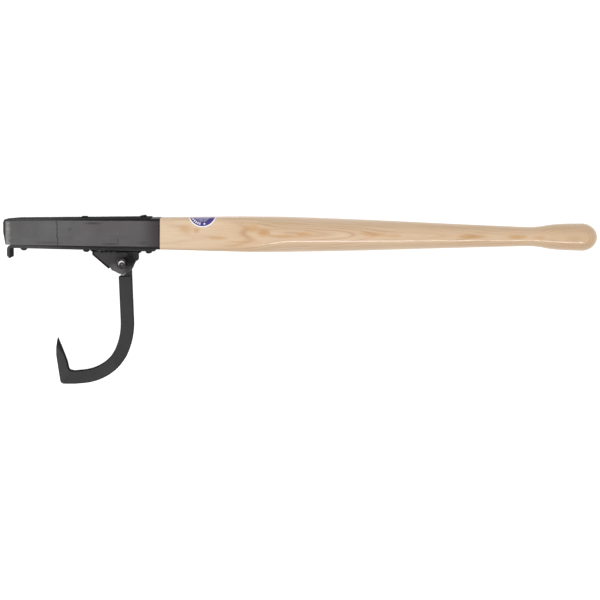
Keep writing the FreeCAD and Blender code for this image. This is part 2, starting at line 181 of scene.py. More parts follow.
def newMaterial(name):
    made = bpy.data.materials.new(name)
    made.use_nodes = True
    tree = made.node_tree
    place = addNode(tree, "TexCoord").outputs["Object"]
    return made, tree, tree.nodes["Principled BSDF"], place


def addBump(tree, shader, height, distance, strength=1.0):
    made = addNode(tree, "Bump", {"Strength": strength, "Distance": distance, "Height": height})
    tree.links.new(made.outputs["Normal"], shader.inputs["Normal"])


# growth rings of flat-sawn ash; lengths in metres, measured from the front end of the wood
ash = {
    "ringSpacing": 0.0027,
    "pithDepth": 0.12,
    "nearSide": 0.026,
    "bleached": tone(213, 190, 164),
    "pale": tone(211, 184, 155),
    "tan": tone(206, 178, 146),
    "pink": tone(206, 170, 144),
    "straw": tone(220, 196, 160),
    "knob": tone(196, 167, 134),
    "brown": tone(192, 148, 99),
    "ringLine": tone(184, 146, 110),
    "knot": tone(120, 92, 66),
    "pore": tone(150, 110, 72),
    "ringShade": ((0.0, 0.75), (0.10, 0.16), (0.45, 0.0), (0.72, 0.22), (0.90, 0.9), (1.0, 0.78)),
    "swirls": [  # centre along, up; reach back, ahead, up; rise
        (0.444, 0.0050, 0.048, 0.040, 0.0130, 0.0024),
        (0.296, 0.0055, 0.024, 0.044, 0.0110, 0.0016),
        (0.506, 0.0025, 0.200, 0.084, 0.0150, 0.0030),
        (0.668, 0.0020, 0.120, 0.084, 0.0120, 0.0032),
        (0.786, 0.0015, 0.090, 0.040, 0.0090, 0.0022),
        (0.872, 0.0010, 0.040, 0.028, 0.0160, 0.0016),
    ],
    "stains": [  # centre along, up; reach back, ahead, up; strength
        (0.384, 0.0098, 0.018, 0.015, 0.0078, 0.62),
        (0.400, 0.0050, 0.012, 0.011, 0.0074, 0.85),
        (0.433, -0.0010, 0.032, 0.030, 0.0026, 0.78),
        (0.459, 0.0018, 0.012, 0.020, 0.0042, 0.80),
        (0.281, 0.0080, 0.014, 0.014, 0.0090, 0.45),
        (0.297, 0.0062, 0.006, 0.007, 0.0052, 0.62),
        (0.331, -0.0050, 0.018, 0.016, 0.0030, 0.65),
        (0.364, -0.0110, 0.026, 0.034, 0.0022, 0.55),
        (0.566, 0.0030, 0.024, 0.022, 0.0046, 0.75),
        (0.603, 0.0010, 0.022, 0.010, 0.0028, 0.50),
        (0.719, 0.0004, 0.030, 0.026, 0.0038, 0.88),
        (0.788, 0.0006, 0.018, 0.020, 0.0034, 0.78),
        (0.822, 0.0000, 0.012, 0.014, 0.0034, 0.45),
    ],
    "knots": [(0.2925, -0.0058, 0.0016, 0.0009), (0.4060, -0.0150, 0.0050, 0.0008)],
}


def egg(tree, place, along, up, back, ahead, high, near=15.0):  # 0 in its middle, 1 at its rim
    away = vecCalc(tree, "SUBTRACT", place, (along, up, ash["nearSide"]))
    way = addNode(tree, "SeparateXYZ", {0: away}).outputs
    long = calc(tree, "MAXIMUM", calc(tree, "MULTIPLY", way["X"], 1 / ahead),
                calc(tree, "MULTIPLY", way["X"], -1 / back))
    inputs = {"X": long, "Y": calc(tree, "MULTIPLY", way["Y"], 1 / high),
              "Z": calc(tree, "MULTIPLY", way["Z"], near)}
    return lengthOf(tree, addNode(tree, "CombineXYZ", inputs).outputs[0])


def growthRings(tree, place):  # how dark each year's wood is, 0 to 1
    up, out = axisOf(tree, place, "Y"), axisOf(tree, place, "Z")
    depth = calc(tree, "MULTIPLY_ADD", alongGrain(tree, place, 4.0, 20.0, 2.0, 0.45), 0.0050, out)
    depth = calc(tree, "MULTIPLY_ADD", calc(tree, "MULTIPLY", up, up), 0.5 / ash["pithDepth"], depth)
    for *spot, rise in ash["swirls"]:
        depth = calc(tree, "ADD", depth, fade(tree, egg(tree, place, *spot), 1.0, 0.0, 0.0, rise))
    ring = calc(tree, "MULTIPLY", depth, 1 / ash["ringSpacing"])
    inputs = {"W": ring, "Scale": 0.37, "Detail": 1.0}
    uneven = addNode(tree, "TexNoise", inputs, noise_dimensions="1D").outputs["Fac"]
    share = calc(tree, "FRACT", calc(tree, "MULTIPLY_ADD", uneven, 1.6, ring))
    strength = fade(tree, alongGrain(tree, place, 9.0, 60.0, 2.0), 0.34, 0.68, 0.14, 0.90)
    return calc(tree, "MULTIPLY", ramp(tree, share, ash["ringShade"]), strength)


def woodHues(tree, place):  # slow changes of hue along the handle, without rings or marks
    along = axisOf(tree, place, "X")
    slow = fade(tree, alongGrain(tree, place, 5.0, 38.0), 0.34, 0.66)
    base = mixTone(tree, slow, ash["pale"], ash["tan"])
    hue = alongGrain(tree, place, 7.0, 75.0, 3.0, 0.6)
    base = mixTone(tree, fade(tree, hue, 0.58, 0.72, 0.0, 0.55), base, ash["pink"])
    base = mixTone(tree, fade(tree, hue, 0.42, 0.28, 0.0, 0.55), base, ash["straw"])
    base = mixTone(tree, fade(tree, along, 0.390, 0.240, 0.0, 0.72), base, ash["bleached"])
    base = mixTone(tree, fade(tree, along, 0.60, 0.78, 0.0, 0.90), base, ash["tan"])
    return mixTone(tree, fade(tree, along, 0.80, 0.86, 0.0, 0.55), base, ash["knob"])


def buildAshGrain():
    tree, given, result = newGroup(
        "ashGrain", [("Vector", "vector", None)],
        [("Color", "color"), ("Height", "value"), ("Tone", "value")])
    place = given["Vector"]
    rings = growthRings(tree, place)
    colour = woodHues(tree, place)
    ragged = alongGrain(tree, place, 40.0, 240.0, 3.0, 0.6)
    for *spot, strength in ash["stains"]:
        rim = calc(tree, "MULTIPLY_ADD", ragged, 0.9, egg(tree, place, *spot, 5.0))
        colour = mixTone(tree, fade(tree, rim, 1.65, 0.70, 0.0, strength), colour, ash["brown"])
    colour = mixTone(tree, rings, colour, ash["ringLine"])
    for along, up, long, high in ash["knots"]:
        rim = calc(tree, "MULTIPLY_ADD", ragged, 0.8, egg(tree, place, along, up, long, long, high, 60.0))
        colour = mixTone(tree, fade(tree, rim, 1.3, 0.5, 0.0, 0.6), colour, ash["knot"])
    fibre = alongGrain(tree, place, 22.0, 900.0, 3.0, 0.6)
    colour = shadeBy(tree, colour, fade(tree, fibre, 0.35, 0.65, 0.955, 1.03, "LINEAR"))
    pore = fade(tree, alongGrain(tree, place, 160.0, 3600.0, 1.0), 0.60, 0.70)
    pore = calc(tree, "MULTIPLY", pore, calc(tree, "MULTIPLY_ADD", rings, 0.8, 0.15, clamp=True))
    colour = mixTone(tree, calc(tree, "MULTIPLY", pore, 0.42), colour, ash["pore"])
    feed(tree, colour, result["Color"])
    feed(tree, calc(tree, "MULTIPLY_ADD", pore, -1.0, calc(tree, "MULTIPLY", rings, -0.25)), result["Height"])
    feed(tree, rings, result["Tone"])
    return tree


def buildBlackPaint():  # satin paint: orange peel, slow changes of tone, a few dull scuffs
    tree, given, result = newGroup(
        "blackPaint",
        [("Vector", "vector", None), ("Scuff Vector", "vector", None),
         ("Color", "color", (0.02, 0.02, 0.02, 1)), ("Roughness", "value", 0.4),
         ("Peel", "value", 900.0), ("Scuffs", "value", 0.3)],
        [("Color", "color"), ("Roughness", "value"), ("Height", "value")])
    place = given["Vector"]
    slow = grainNoise(tree, place, 26.0, 3.0, 0.55)
    colour = shadeBy(tree, given["Color"], fade(tree, slow, 0.3, 0.7, 0.86, 1.14, "LINEAR"))
    streaks = grainNoise(tree, given["Scuff Vector"], 1.0, 4.0, 0.62)
    scuff = calc(tree, "MULTIPLY", fade(tree, streaks, 0.56, 0.74), given["Scuffs"])
    colour = mixTone(tree, calc(tree, "MULTIPLY", scuff, 0.30), colour, tone(150, 148, 146))
    specks = addNode(tree, "TexVoronoi", {"Vector": place, "Scale": 150.0}).outputs["Distance"]
    colour = mixTone(tree, fade(tree, specks, 0.07, 0.03, 0.0, 0.35), colour, tone(34, 33, 33))
    feed(tree, colour, result["Color"])
    rough = calc(tree, "MULTIPLY_ADD", scuff, 0.25, given["Roughness"])
    feed(tree, calc(tree, "MULTIPLY_ADD", slow, 0.10, rough), result["Roughness"])
    peel = addNode(tree, "TexNoise", {"Vector": place, "Scale": given["Peel"], "Detail": 1.0}).outputs["Fac"]
    feed(tree, calc(tree, "MULTIPLY_ADD", grainNoise(tree, place, 120.0), 1.8, peel), result["Height"])
    return tree


def buildEdgeWearAndHighlight():  # where the paint is thin or rubbed off along edges, and painted highlights along the edges
    tree, given, result = newGroup(
        "edgeWearAndHighlight", [("Vector", "vector", None), ("Reach", "value", 0.0008), ("Amount", "value", 0.5)],
        [("Mask", "value")])
    rounded = addNode(tree, "Bevel", {"Radius": given["Reach"]}, samples=4).outputs[0]
    flat = addNode(tree, "NewGeometry").outputs["Normal"]
    edge = fade(tree, vecCalc(tree, "DOT_PRODUCT", rounded, flat, "Value"), 0.995, 0.90)
    patch = fade(tree, grainNoise(tree, given["Vector"], 160.0, 4.0, 0.65), 0.42, 0.62)
    feed(tree, calc(tree, "MULTIPLY", calc(tree, "MULTIPLY", edge, patch), given["Amount"]), result["Mask"])
    return tree


ashGrain = buildAshGrain()
blackPaint = buildBlackPaint()
edgeWearAndHighlight = buildEdgeWearAndHighlight()
print("shared shader groups ready")

# the handle's finish; lengths in metres from the front end of the wood
handleFinish = {
    "paintEnd": 0.24155,
    "endBlur": 0.00025,
    "paint": tone(90, 89, 89),
    "warm": tone(88, 82, 84),
    # dark line at the paint's end, and painted shade along the front rim
    "paintEndAndRimShade": tone(20, 20, 20),
    # painted shade: the head's rear, where it turns towards the round grip
    "rear": tone(50, 41, 45),
    # rubbed paint on the front corner, with a painted highlight where it faces the light from the left
    "rubbedAndLit": tone(146, 144, 142),
    # painted shade next to both straps
    "run": tone(22, 21, 22),
    "shadeTop": 0.0191,
    "shadeLow": -0.0190,
    "crackAt": 0.0865,
    "crack": tone(34, 33, 33),
    "smear": tone(44, 43, 43),
    "smearDepth": 1 / 60,
    "nearFace": 0.0215,
    "smears": [  # centre along, up; reach along, up; strength
        (0.139, 0.0155, 0.019, 0.0026, 0.60), (0.103, 0.0058, 0.0050, 0.0036, 0.32),
        (0.177, -0.0100, 0.0024, 0.0060, 0.40), (0.166, -0.0160, 0.0200, 0.0030, 0.45),
        (0.070, -0.0150, 0.0300, 0.0026, 0.30), (0.215, -0.0140, 0.0120, 0.0040, 0.35),
    ],
    "varnishFrom": 0.33,
    "varnishFull": 0.46,
}


def paintTones(tree, place, coat, line):  # warm patches, a dark line at the paint's end, painted shade along the front rim and over the head's rear, and the front corner pale from rubbed paint and a painted highlight
    along = axisOf(tree, place, "X")
    warm = fade(tree, alongGrain(tree, place, 14.0, 40.0, 3.0, 0.6), 0.35, 0.65)
    warm = calc(tree, "MULTIPLY", warm, fade(tree, along, 0.06, 0.16, 0.25, 1.0))
    coat = mixTone(tree, calc(tree, "MULTIPLY", warm, 0.6), coat, handleFinish["warm"])
    end = handleFinish["paintEnd"]
    edge = fade(tree, line, end - 0.0030, end - 0.0014)
    # painted shade along the front rim, joined to the dark line at the paint's end
    edge = calc(tree, "MAXIMUM", edge, fade(tree, along, 0.0046, 0.0026, 0.0, 0.85))
    coat = mixTone(tree, edge, coat, handleFinish["paintEndAndRimShade"])
    # painted shade over the head's rear, where it turns towards the round grip
    coat = mixTone(tree, fade(tree, along, 0.208, 0.238, 0.0, 0.75), coat, handleFinish["rear"])
    # the front corner pale: rubbed paint, and a painted highlight where it faces the light from the left
    lumpy = calc(tree, "MULTIPLY_ADD", grainNoise(tree, place, 220.0, 3.0, 0.6), 0.008, along)
    patchy = fade(tree, grainNoise(tree, place, 300.0, 3.0, 0.65), 0.36, 0.60, 0.45, 1.0)
    rubbedAndLit = calc(tree, "MULTIPLY", fade(tree, lumpy, 0.0170, 0.0120), fade(tree, along, 0.0042, 0.0060))
    rubbedAndLit = calc(tree, "MULTIPLY", calc(tree, "MULTIPLY", rubbedAndLit, patchy), 0.85)
    return mixTone(tree, rubbedAndLit, coat, handleFinish["rubbedAndLit"])


def strapEdgeShade(tree, place, coat):  # painted shade: a black band along the head next to both straps, wider towards the rear
    along, up = axisOf(tree, place, "X"), axisOf(tree, place, "Y")
    ragged = alongGrain(tree, place, 60.0, 500.0)
    upper = calc(tree, "MULTIPLY_ADD", along, 0.0035, handleFinish["shadeTop"])
    lower = calc(tree, "MULTIPLY_ADD", along, -0.0025, handleFinish["shadeLow"])
    over = calc(tree, "MULTIPLY_ADD", ragged, 0.0012, calc(tree, "SUBTRACT", up, upper))
    under = calc(tree, "MULTIPLY_ADD", ragged, 0.0012, calc(tree, "SUBTRACT", lower, up))
    run = calc(tree, "MAXIMUM", fade(tree, over, 0.0, 0.0010), fade(tree, under, 0.0, 0.0010))
    run = calc(tree, "MULTIPLY", run, fade(tree, along, 0.02, 0.06, 0.3, 0.92))
    return mixTone(tree, run, coat, handleFinish["run"])


def paintCrack(tree, place):  # a hairline down the near side where the paint has parted
    along, up, out = (axisOf(tree, place, axis) for axis in "XYZ")
    sway = calc(tree, "MULTIPLY_ADD", grainNoise(tree, place, 70.0, 3.0, 0.6), 0.0060, along)
    across = calc(tree, "SUBTRACT", sway, handleFinish["crackAt"])
    across = calc(tree, "ABSOLUTE", calc(tree, "MULTIPLY_ADD", up, 0.065, across))
    return calc(tree, "MULTIPLY", fade(tree, across, 0.0010, 0.0003), fade(tree, out, 0.012, 0.016))


def shadedWood(tree, colour):  # painted shade: a little darker towards both outlines and on the lower side
    outlineShade = fade(tree, calc(tree, "ABSOLUTE", normalAlong(tree, "Z")), 0.1, 0.85, 0.84, 1.0, "LINEAR")
    lower = fade(tree, normalAlong(tree, "Y"), -0.10, -0.60, 1.0, 0.86, "LINEAR")
    return shadeBy(tree, colour, calc(tree, "MULTIPLY", outlineShade, lower))


def makeHandleFinish():
    made, tree, shader, place = newMaterial("handleFinish")
    place = vecCalc(tree, "SUBTRACT", place, frontEnd)
    along = axisOf(tree, place, "X")
    wood = useGroup(tree, ashGrain, {"Vector": place})
    paint = useGroup(tree, blackPaint, {
        "Vector": place, "Scuff Vector": stretch(tree, place, (55.0, 240.0, 240.0)),
        "Color": handleFinish["paint"], "Roughness": 0.42, "Peel": 420.0, "Scuffs": 0.22})
    brushLine = grainNoise(tree, place, 160.0, 2.0)
    line = calc(tree, "MULTIPLY_ADD", brushLine, 0.0007, along)
    end, blur = handleFinish["paintEnd"], handleFinish["endBlur"]
    painted = fade(tree, line, end + blur, end - blur)
    unpainted = fade(tree, painted, 0.0, 1.0, 1.0, 0.0)
    coat = strapEdgeShade(tree, place, paintTones(tree, place, paint["Color"], line))
    crack = paintCrack(tree, place)
    coat = mixTone(tree, calc(tree, "MULTIPLY", crack, 0.8), coat, handleFinish["crack"])
    for smearAt, smearUp, smearLong, smearHigh, strength in handleFinish["smears"]:
        middle = (smearAt, smearUp, handleFinish["nearFace"])
        reach = reachFrom(tree, place, middle, (smearLong, smearHigh, handleFinish["smearDepth"]))
        rim = calc(tree, "MULTIPLY_ADD", brushLine, 0.5, reach)
        coat = mixTone(tree, fade(tree, rim, 1.3, 0.4, 0.0, strength), coat, handleFinish["smear"])
    feed(tree, mixTone(tree, painted, shadedWood(tree, wood["Color"]), coat), shader.inputs["Base Color"])
    bareRough = calc(tree, "MULTIPLY_ADD", wood["Tone"], 0.10, 0.34)
    feed(tree, mixValue(tree, painted, bareRough, paint["Roughness"]), shader.inputs["Roughness"])
    # the varnish is dull by the head and glossy from the belly on
    varnish = fade(tree, along, handleFinish["varnishFrom"], handleFinish["varnishFull"], 0.10, 0.90)
    feed(tree, calc(tree, "MULTIPLY", varnish, unpainted), shader.inputs["Coat Weight"])
    shader.inputs["Coat Roughness"].default_value = 0.12
    shader.inputs["Coat IOR"].default_value = 1.36
    shader.inputs["Specular IOR Level"].default_value = 0.12
    film = calc(tree, "MULTIPLY_ADD", painted, 6.0, calc(tree, "MULTIPLY", crack, -3.0))
    film = calc(tree, "MULTIPLY_ADD", calc(tree, "MULTIPLY", paint["Height"], painted), 0.8, film)
    bare = calc(tree, "MULTIPLY", wood["Height"], unpainted)
    addBump(tree, shader, calc(tree, "MULTIPLY_ADD", bare, 0.35, film), 0.00006)
    return made


def litSide(tree, place, colour, low, high, lift):  # painted light on the bar's rear side, from its eye down to the bend
    beside = axisOf(tree, vecCalc(tree, "SUBTRACT", place, pin), "X")
    side = fade(tree, normalAlong(tree, "X"), low, high)
    side = calc(tree, "MULTIPLY", side, fade(tree, beside, -0.05, -0.02))
    return mixTone(tree, side, colour, lift)


def shadedRear(tree, place, colour, start, end, share):  # painted shade: darker towards the rear part
    along = axisOf(tree, vecCalc(tree, "SUBTRACT", place, frontEnd), "X")
    return mixTone(tree, fade(tree, along, start, end, 0.0, 1.0 - share), colour, tone(6, 6, 6))


def litMitre(tree, place, colour, inner, outer, lift):  # painted light: a pale line along the fold, and the point beyond it a little paler
    run = (Vector(outer) - Vector(inner)).normalized()
    spot = vecCalc(tree, "SUBTRACT", place, fromPin(*inner))
    over = vecCalc(tree, "DOT_PRODUCT", spot, (run.y, -run.x, 0.0), "Value")
    over = calc(tree, "SUBTRACT", over, 0.0006)
    over = calc(tree, "MULTIPLY_ADD", grainNoise(tree, place, 90.0), 0.0012, over)
    crease = fade(tree, calc(tree, "ABSOLUTE", over), 0.0009, 0.0001, 0.0, 0.35)
    leg = calc(tree, "ADD", fade(tree, over, 0.0, 0.004, 1.0, lift), crease)
    here = fade(tree, axisOf(tree, spot, "X"), 0.004, 0.0)
    return shadeBy(tree, colour, mixValue(tree, here, 1.0, leg))


def wornAndHighlitEdges(tree, place, wearAndHighlight, rubsAndHighlights):  # worn paint and painted highlights along edges all over, and more of them where something rubs
    wornAndHighlit = useGroup(tree, edgeWearAndHighlight, {"Vector": place, "Reach": 0.0009, "Amount": wearAndHighlight})["Mask"]
    for middle, size, strength in rubsAndHighlights:
        near = fade(tree, reachFrom(tree, place, fromPin(*middle), size), 1.0, 0.6, 0.0, strength)
        edge = useGroup(tree, edgeWearAndHighlight, {"Vector": place, "Reach": 0.0015, "Amount": 2.4})["Mask"]
        wornAndHighlit = calc(tree, "MAXIMUM", wornAndHighlit, calc(tree, "MULTIPLY", near, edge), clamp=True)
    return wornAndHighlit


def paintedEndGlint(tree, place, colour, height, rimAt, inside):  # painted highlight: a bright crescent glint along the end's upper left rim, and a faint spot inside it
    end = vecCalc(tree, "SUBTRACT", place, pin)
    rise = fade(tree, axisOf(tree, end, "Z"), height, height + 0.001)
    end = vecCalc(tree, "MULTIPLY", end, (1, 1, 0))
    outer = fade(tree, lengthOf(tree, end), rimAt + 0.0003, rimAt - 0.0003)
    hollow = vecCalc(tree, "DISTANCE", end, (0.0006, -0.0017, 0.0), "Value")
    hollow = calc(tree, "MULTIPLY_ADD", grainNoise(tree, place, 700.0), 0.0012, hollow)
    shine = calc(tree, "MULTIPLY", outer, fade(tree, hollow, inside, inside + 0.0007))
    spot = vecCalc(tree, "DISTANCE", end, (0.0004, -0.0008, 0.0), "Value")
    shine = calc(tree, "MAXIMUM", shine, fade(tree, spot, 0.0012, 0.0005, 0.0, 0.3))
    return mixTone(tree, calc(tree, "MULTIPLY", shine, rise), colour, tone(222, 221, 219))


def makePaintedSteel(look):
    made, tree, shader, place = newMaterial(look["name"])
    paint = useGroup(tree, blackPaint, {
        "Vector": place, "Scuff Vector": stretch(tree, place, look["scuffSize"]), "Color": look["paint"],
        "Roughness": look["rough"], "Peel": look["peel"], "Scuffs": look["scuffs"]})
    # painted shade: bends, cut edges and sides darker than the broad flats, set by which way each surface
    # faces
    facing = calc(tree, "ABSOLUTE", normalAlong(tree, "Z"))
    colour = mixTone(tree, 1.0, paint["Color"], ramp(tree, facing, look["shadeByFacing"]), "MULTIPLY")
    for name, change in (("sideLight", litSide), ("rearShadeFrom", shadedRear), ("mitre", litMitre)):
        if name in look:
            colour = change(tree, place, colour, **look[name])
    # painted shade and painted light: patches darkened where shade falls and paled where light catches
    for middle, size, strength, patchTone in look.get("lightShadePatches", ()):
        rim = calc(tree, "MULTIPLY_ADD", grainNoise(tree, place, 260.0), 0.7,
                   reachFrom(tree, place, fromPin(*middle), size))
        colour = mixTone(tree, fade(tree, rim, 1.35, 0.75, 0.0, strength), colour, patchTone)
    # pale bare steel along edges: worn paint, and painted highlights
    wornAndHighlit = wornAndHighlitEdges(tree, place, look["wearAndHighlight"], look.get("rubsAndHighlights", ()))
    colour = mixTone(tree, wornAndHighlit, colour, look["bare"])
    if "endGlint" in look:
        colour = paintedEndGlint(tree, place, colour, **look["endGlint"])
    feed(tree, colour, shader.inputs["Base Color"])
    # the sides take no shine from around them
    metal = calc(tree, "MAXIMUM", calc(tree, "MULTIPLY", wornAndHighlit, 0.7), fade(tree, facing, *look["sides"]))
    feed(tree, metal, shader.inputs["Metallic"])
    feed(tree, paint["Roughness"], shader.inputs["Roughness"])
    shader.inputs["Specular Tint"].default_value = (0.25, 0.25, 0.25, 1.0)
    shader.inputs["Specular IOR Level"].default_value = look["gloss"]
    addBump(tree, shader, paint["Height"], look["bump"])
    return made


# shares of the label's width, from its middle
label = {
    "ink": tone(52, 36, 116), "pale": tone(236, 233, 238), "rim": (0.458, 0.464),
    "dashBand": (0.335, 0.425), "dashes": 34.0, "dashesUntil": -1.72,
    "dotAt": (0.075, -0.375, 0.0), "dotRadius": 0.030,
    "rowsWithin": 0.305, "rowPitch": 150.0, "rowStrength": 0.85,
}


def makeStickerPrint():  # plain round label: pale rim, blue band with pale marks, no words
    made, tree, shader, place = newMaterial("stickerPrint")
    spot = vecCalc(tree, "SUBTRACT", addNode(tree, "UVMap", uv_map="labelMap").outputs[0], (0.5, 0.5, 0.0))
    across, up = axisOf(tree, spot, "X"), axisOf(tree, spot, "Y")
    reach = lengthOf(tree, spot)
    turn = calc(tree, "ARCTAN2", up, across)
    dashes = fade(tree, calc(tree, "SINE", calc(tree, "MULTIPLY", turn, label["dashes"])), -0.1, 0.2)
    low, high = label["dashBand"]
    inBand = calc(tree, "MULTIPLY", fade(tree, reach, low, low + 0.01), fade(tree, reach, high, high - 0.01))
    ahead = fade(tree, turn, label["dashesUntil"], label["dashesUntil"] - 0.06)
    inBand = calc(tree, "MULTIPLY", inBand, ahead)
    dashes = calc(tree, "MULTIPLY", dashes, inBand)
    dot = vecCalc(tree, "DISTANCE", spot, label["dotAt"], "Value")
    dot = fade(tree, dot, label["dotRadius"] + 0.004, label["dotRadius"] - 0.004)
    rows = fade(tree, calc(tree, "SINE", calc(tree, "MULTIPLY", up, label["rowPitch"])), 0.2, 0.5)
    breaks = grainNoise(tree, stretch(tree, spot, (34.0, 22.0, 1.0)), 1.0, 1.0)
    rows = calc(tree, "MULTIPLY", rows, fade(tree, breaks, 0.42, 0.48))
    rows = calc(tree, "MULTIPLY", rows, fade(tree, reach, label["rowsWithin"], label["rowsWithin"] - 0.01))
    rows = calc(tree, "MULTIPLY", rows, label["rowStrength"])
    pale = calc(tree, "MAXIMUM", calc(tree, "MAXIMUM", dashes, rows),
                calc(tree, "MAXIMUM", fade(tree, reach, *label["rim"]), dot))
    feed(tree, mixTone(tree, pale, label["ink"], label["pale"]), shader.inputs["Base Color"])
    feed(tree, fade(tree, grainNoise(tree, place, 300.0), 0.3, 0.7, 0.30, 0.42), shader.inputs["Roughness"])
    addBump(tree, shader, grainNoise(tree, place, 500.0), 0.00001)
    return made


def makeNylon():
    made, tree, shader, place = newMaterial("nylonRing")
    speckle = grainNoise(tree, place, 900.0, 3.0)
    feed(tree, mixTone(tree, speckle, tone(40, 40, 42), tone(70, 70, 72)), shader.inputs["Base Color"])
    feed(tree, fade(tree, speckle, 0.3, 0.7, 0.42, 0.58), shader.inputs["Roughness"])
    addBump(tree, shader, speckle, 0.00003)
    return made


# painted light and shade patches, and rubs with painted highlights: middle from the pin, size, strength
# tones for the painted shade and the painted highlights
black = tone(9, 9, 9)
highlightTone = tone(190, 188, 186)
handleSkin = makeHandleFinish()
strapPaint = makePaintedSteel({
    "name": "strapPaint", "paint": tone(68, 67, 67), "rough": 0.50, "gloss": 0.30,
    "peel": 700.0, "bump": 0.00005, "scuffs": 0.22, "scuffSize": (55.0, 240.0, 240.0),
    "wearAndHighlight": 0.16, "bare": tone(150, 148, 146),
    "shadeByFacing": ((0.0, 0.90), (0.25, 0.7), (0.6, 0.5), (0.95, 1.0)), "sides": (0.90, 0.70),
    "rearShadeFrom": {"start": 0.055, "end": 0.130, "share": 0.50},
})
bracketPaint = makePaintedSteel({
    "name": "bracketPaint", "paint": tone(64, 62, 63), "rough": 0.46, "gloss": 0.30,
    "peel": 800.0, "bump": 0.00006, "scuffs": 0.18, "scuffSize": (180.0, 180.0, 180.0),
    "wearAndHighlight": 0.20, "bare": tone(185, 183, 181),
    "shadeByFacing": ((0.0, 0.60), (0.30, 0.20), (0.95, 0.17), (0.985, 0.50), (0.998, 1.0)), "sides": (0.97, 0.85),
    # painted shadow of the nut, painted shade under the strap and in the recess by the stop plate, painted
    # light on the lower cheek and the front weld
    "lightShadePatches": (((0.0120, 0.0065, 0.0110), (0.0140, 0.0150, 0.0040), 0.88, black),
                ((0.0225, 0.0100, 0.0050), (0.0060, 0.0160, 0.0100), 0.60, black),
                ((0.0080, 0.0205, 0.0105), (0.0340, 0.0045, 0.0040), 0.80, black),
                ((-0.0080, -0.0100, 0.0105), (0.0160, 0.0120, 0.0040), 0.50, tone(112, 109, 110)),
                ((-0.0330, 0.0205, 0.0110), (0.0100, 0.0030, 0.0040), 0.30, highlightTone)),
    # rubbed paint and a painted highlight on the cheek's nose edge
    "rubsAndHighlights": (((0.0080, -0.0150, 0.011), (0.0140, 0.0130, 0.006), 1.0),),
})
hookPaint = makePaintedSteel({
    "name": "hookPaint", "paint": tone(56, 56, 56), "rough": 0.50, "gloss": 0.30,
    "peel": 900.0, "bump": 0.00004, "scuffs": 0.07, "scuffSize": (150.0, 110.0, 150.0),
    "wearAndHighlight": 0.10, "bare": tone(150, 148, 146),
    "shadeByFacing": ((0.0, 0.85), (0.20, 0.55), (0.60, 0.30), (0.95, 0.40), (0.995, 1.0)), "sides": (0.98, 0.85),
    "sideLight": {"low": 0.82, "high": 0.97, "lift": tone(96, 95, 95)},
    "mitre": {"inner": (-0.0815, -0.1671), "outer": (-0.0943, -0.1870), "lift": 1.22},
    # pale patch at the neck below the eye: a painted glint, and rubbed paint
    "lightShadePatches": (((-0.0004, -0.0172, 0.0050), (0.0046, 0.0036, 0.0060), 0.75, highlightTone),),
})
fastenerFinish = makePaintedSteel({
    "name": "fastenerFinish", "paint": tone(46, 45, 46), "rough": 0.34, "gloss": 0.50,
    "peel": 1400.0, "bump": 0.00003, "scuffs": 0.35, "scuffSize": (220.0, 220.0, 220.0),
    "wearAndHighlight": 0.35, "bare": tone(170, 169, 167),
    "shadeByFacing": ((0.0, 0.3), (0.5, 0.4), (0.95, 1.0)), "sides": (0.90, 0.60),
    # painted shade on the nut's upper right side
    "lightShadePatches": (((0.0050, 0.0050, 0.0130), (0.0050, 0.0055, 0.0080), 0.7, black),),
})
boltFinish = makePaintedSteel({
    "name": "boltFinish", "paint": tone(56, 55, 56), "rough": 0.22, "gloss": 0.50,
    "peel": 1400.0, "bump": 0.00002, "scuffs": 0.25, "scuffSize": (220.0, 220.0, 220.0),
    "wearAndHighlight": 0.3, "bare": tone(120, 119, 118),
    "shadeByFacing": ((0.0, 0.4), (0.5, 0.7), (0.95, 1.0)), "sides": (0.80, 0.40),
    "endGlint": {"height": 0.0100, "rimAt": 0.0046, "inside": 0.0047},
})
stickerPrint = makeStickerPrint()
nylonPlastic = makeNylon()
print("materials ready")


# mesh helpers

sameSpot = 0.000002


def keepPiece(bm, name, body, material, nodes=(), sharpAt=32.0, flats=True):
    bmesh.ops.remove_doubles(bm, verts=bm.verts, dist=sameSpot)
    bmesh.ops.recalc_face_normals(bm, faces=bm.faces)
    for face in bm.faces:
        face.smooth = True
    for edge in bm.edges:
        edge.smooth = len(edge.link_faces) != 2 or edge.calc_face_angle() < math.radians(sharpAt)
    mesh = bpy.data.meshes.new(name)
    bm.to_mesh(mesh)
    bm.free()
    mesh.materials.append(material)
    piece = bpy.data.objects.new(name, mesh)
    bpy.context.scene.collection.objects.link(piece)
    if flats:
        weighted = piece.modifiers.new("flatShading", "WEIGHTED_NORMAL")
        weighted.keep_sharp = True
        weighted.weight = 100
    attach(piece, body)
    if nodes:
        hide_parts(*nodes)
    return piece


def facesIn(result, key="geom"):
    return [g for g in result[key] if isinstance(g, bmesh.types.BMFace)]


def vertsIn(result, key="geom"):
    return [g for g in result[key] if isinstance(g, bmesh.types.BMVert)]


def edgesIn(result, key="geom"):
    return [g for g in result[key] if isinstance(g, bmesh.types.BMEdge)]


def roundEdges(bm, edges, size, segments, clamp=True):
    return bmesh.ops.bevel(bm, geom=edges, offset=size, offset_type="OFFSET", segments=segments, profile=0.5,
                           affect="EDGES", clamp_overlap=clamp, material=-1)


def steepEdges(bm, degrees):
    return [e for e in bm.edges if len(e.link_faces) == 2 and e.calc_face_angle() > math.radians(degrees)]


def unevenly(bm, amount, size, seed, verts=None):  # hand-made unevenness: moves points along their normals
    bm.normal_update()
    for v in verts or bm.verts:
        v.co += v.normal * noise.noise(v.co / size + Vector((seed, seed, seed))) * amount


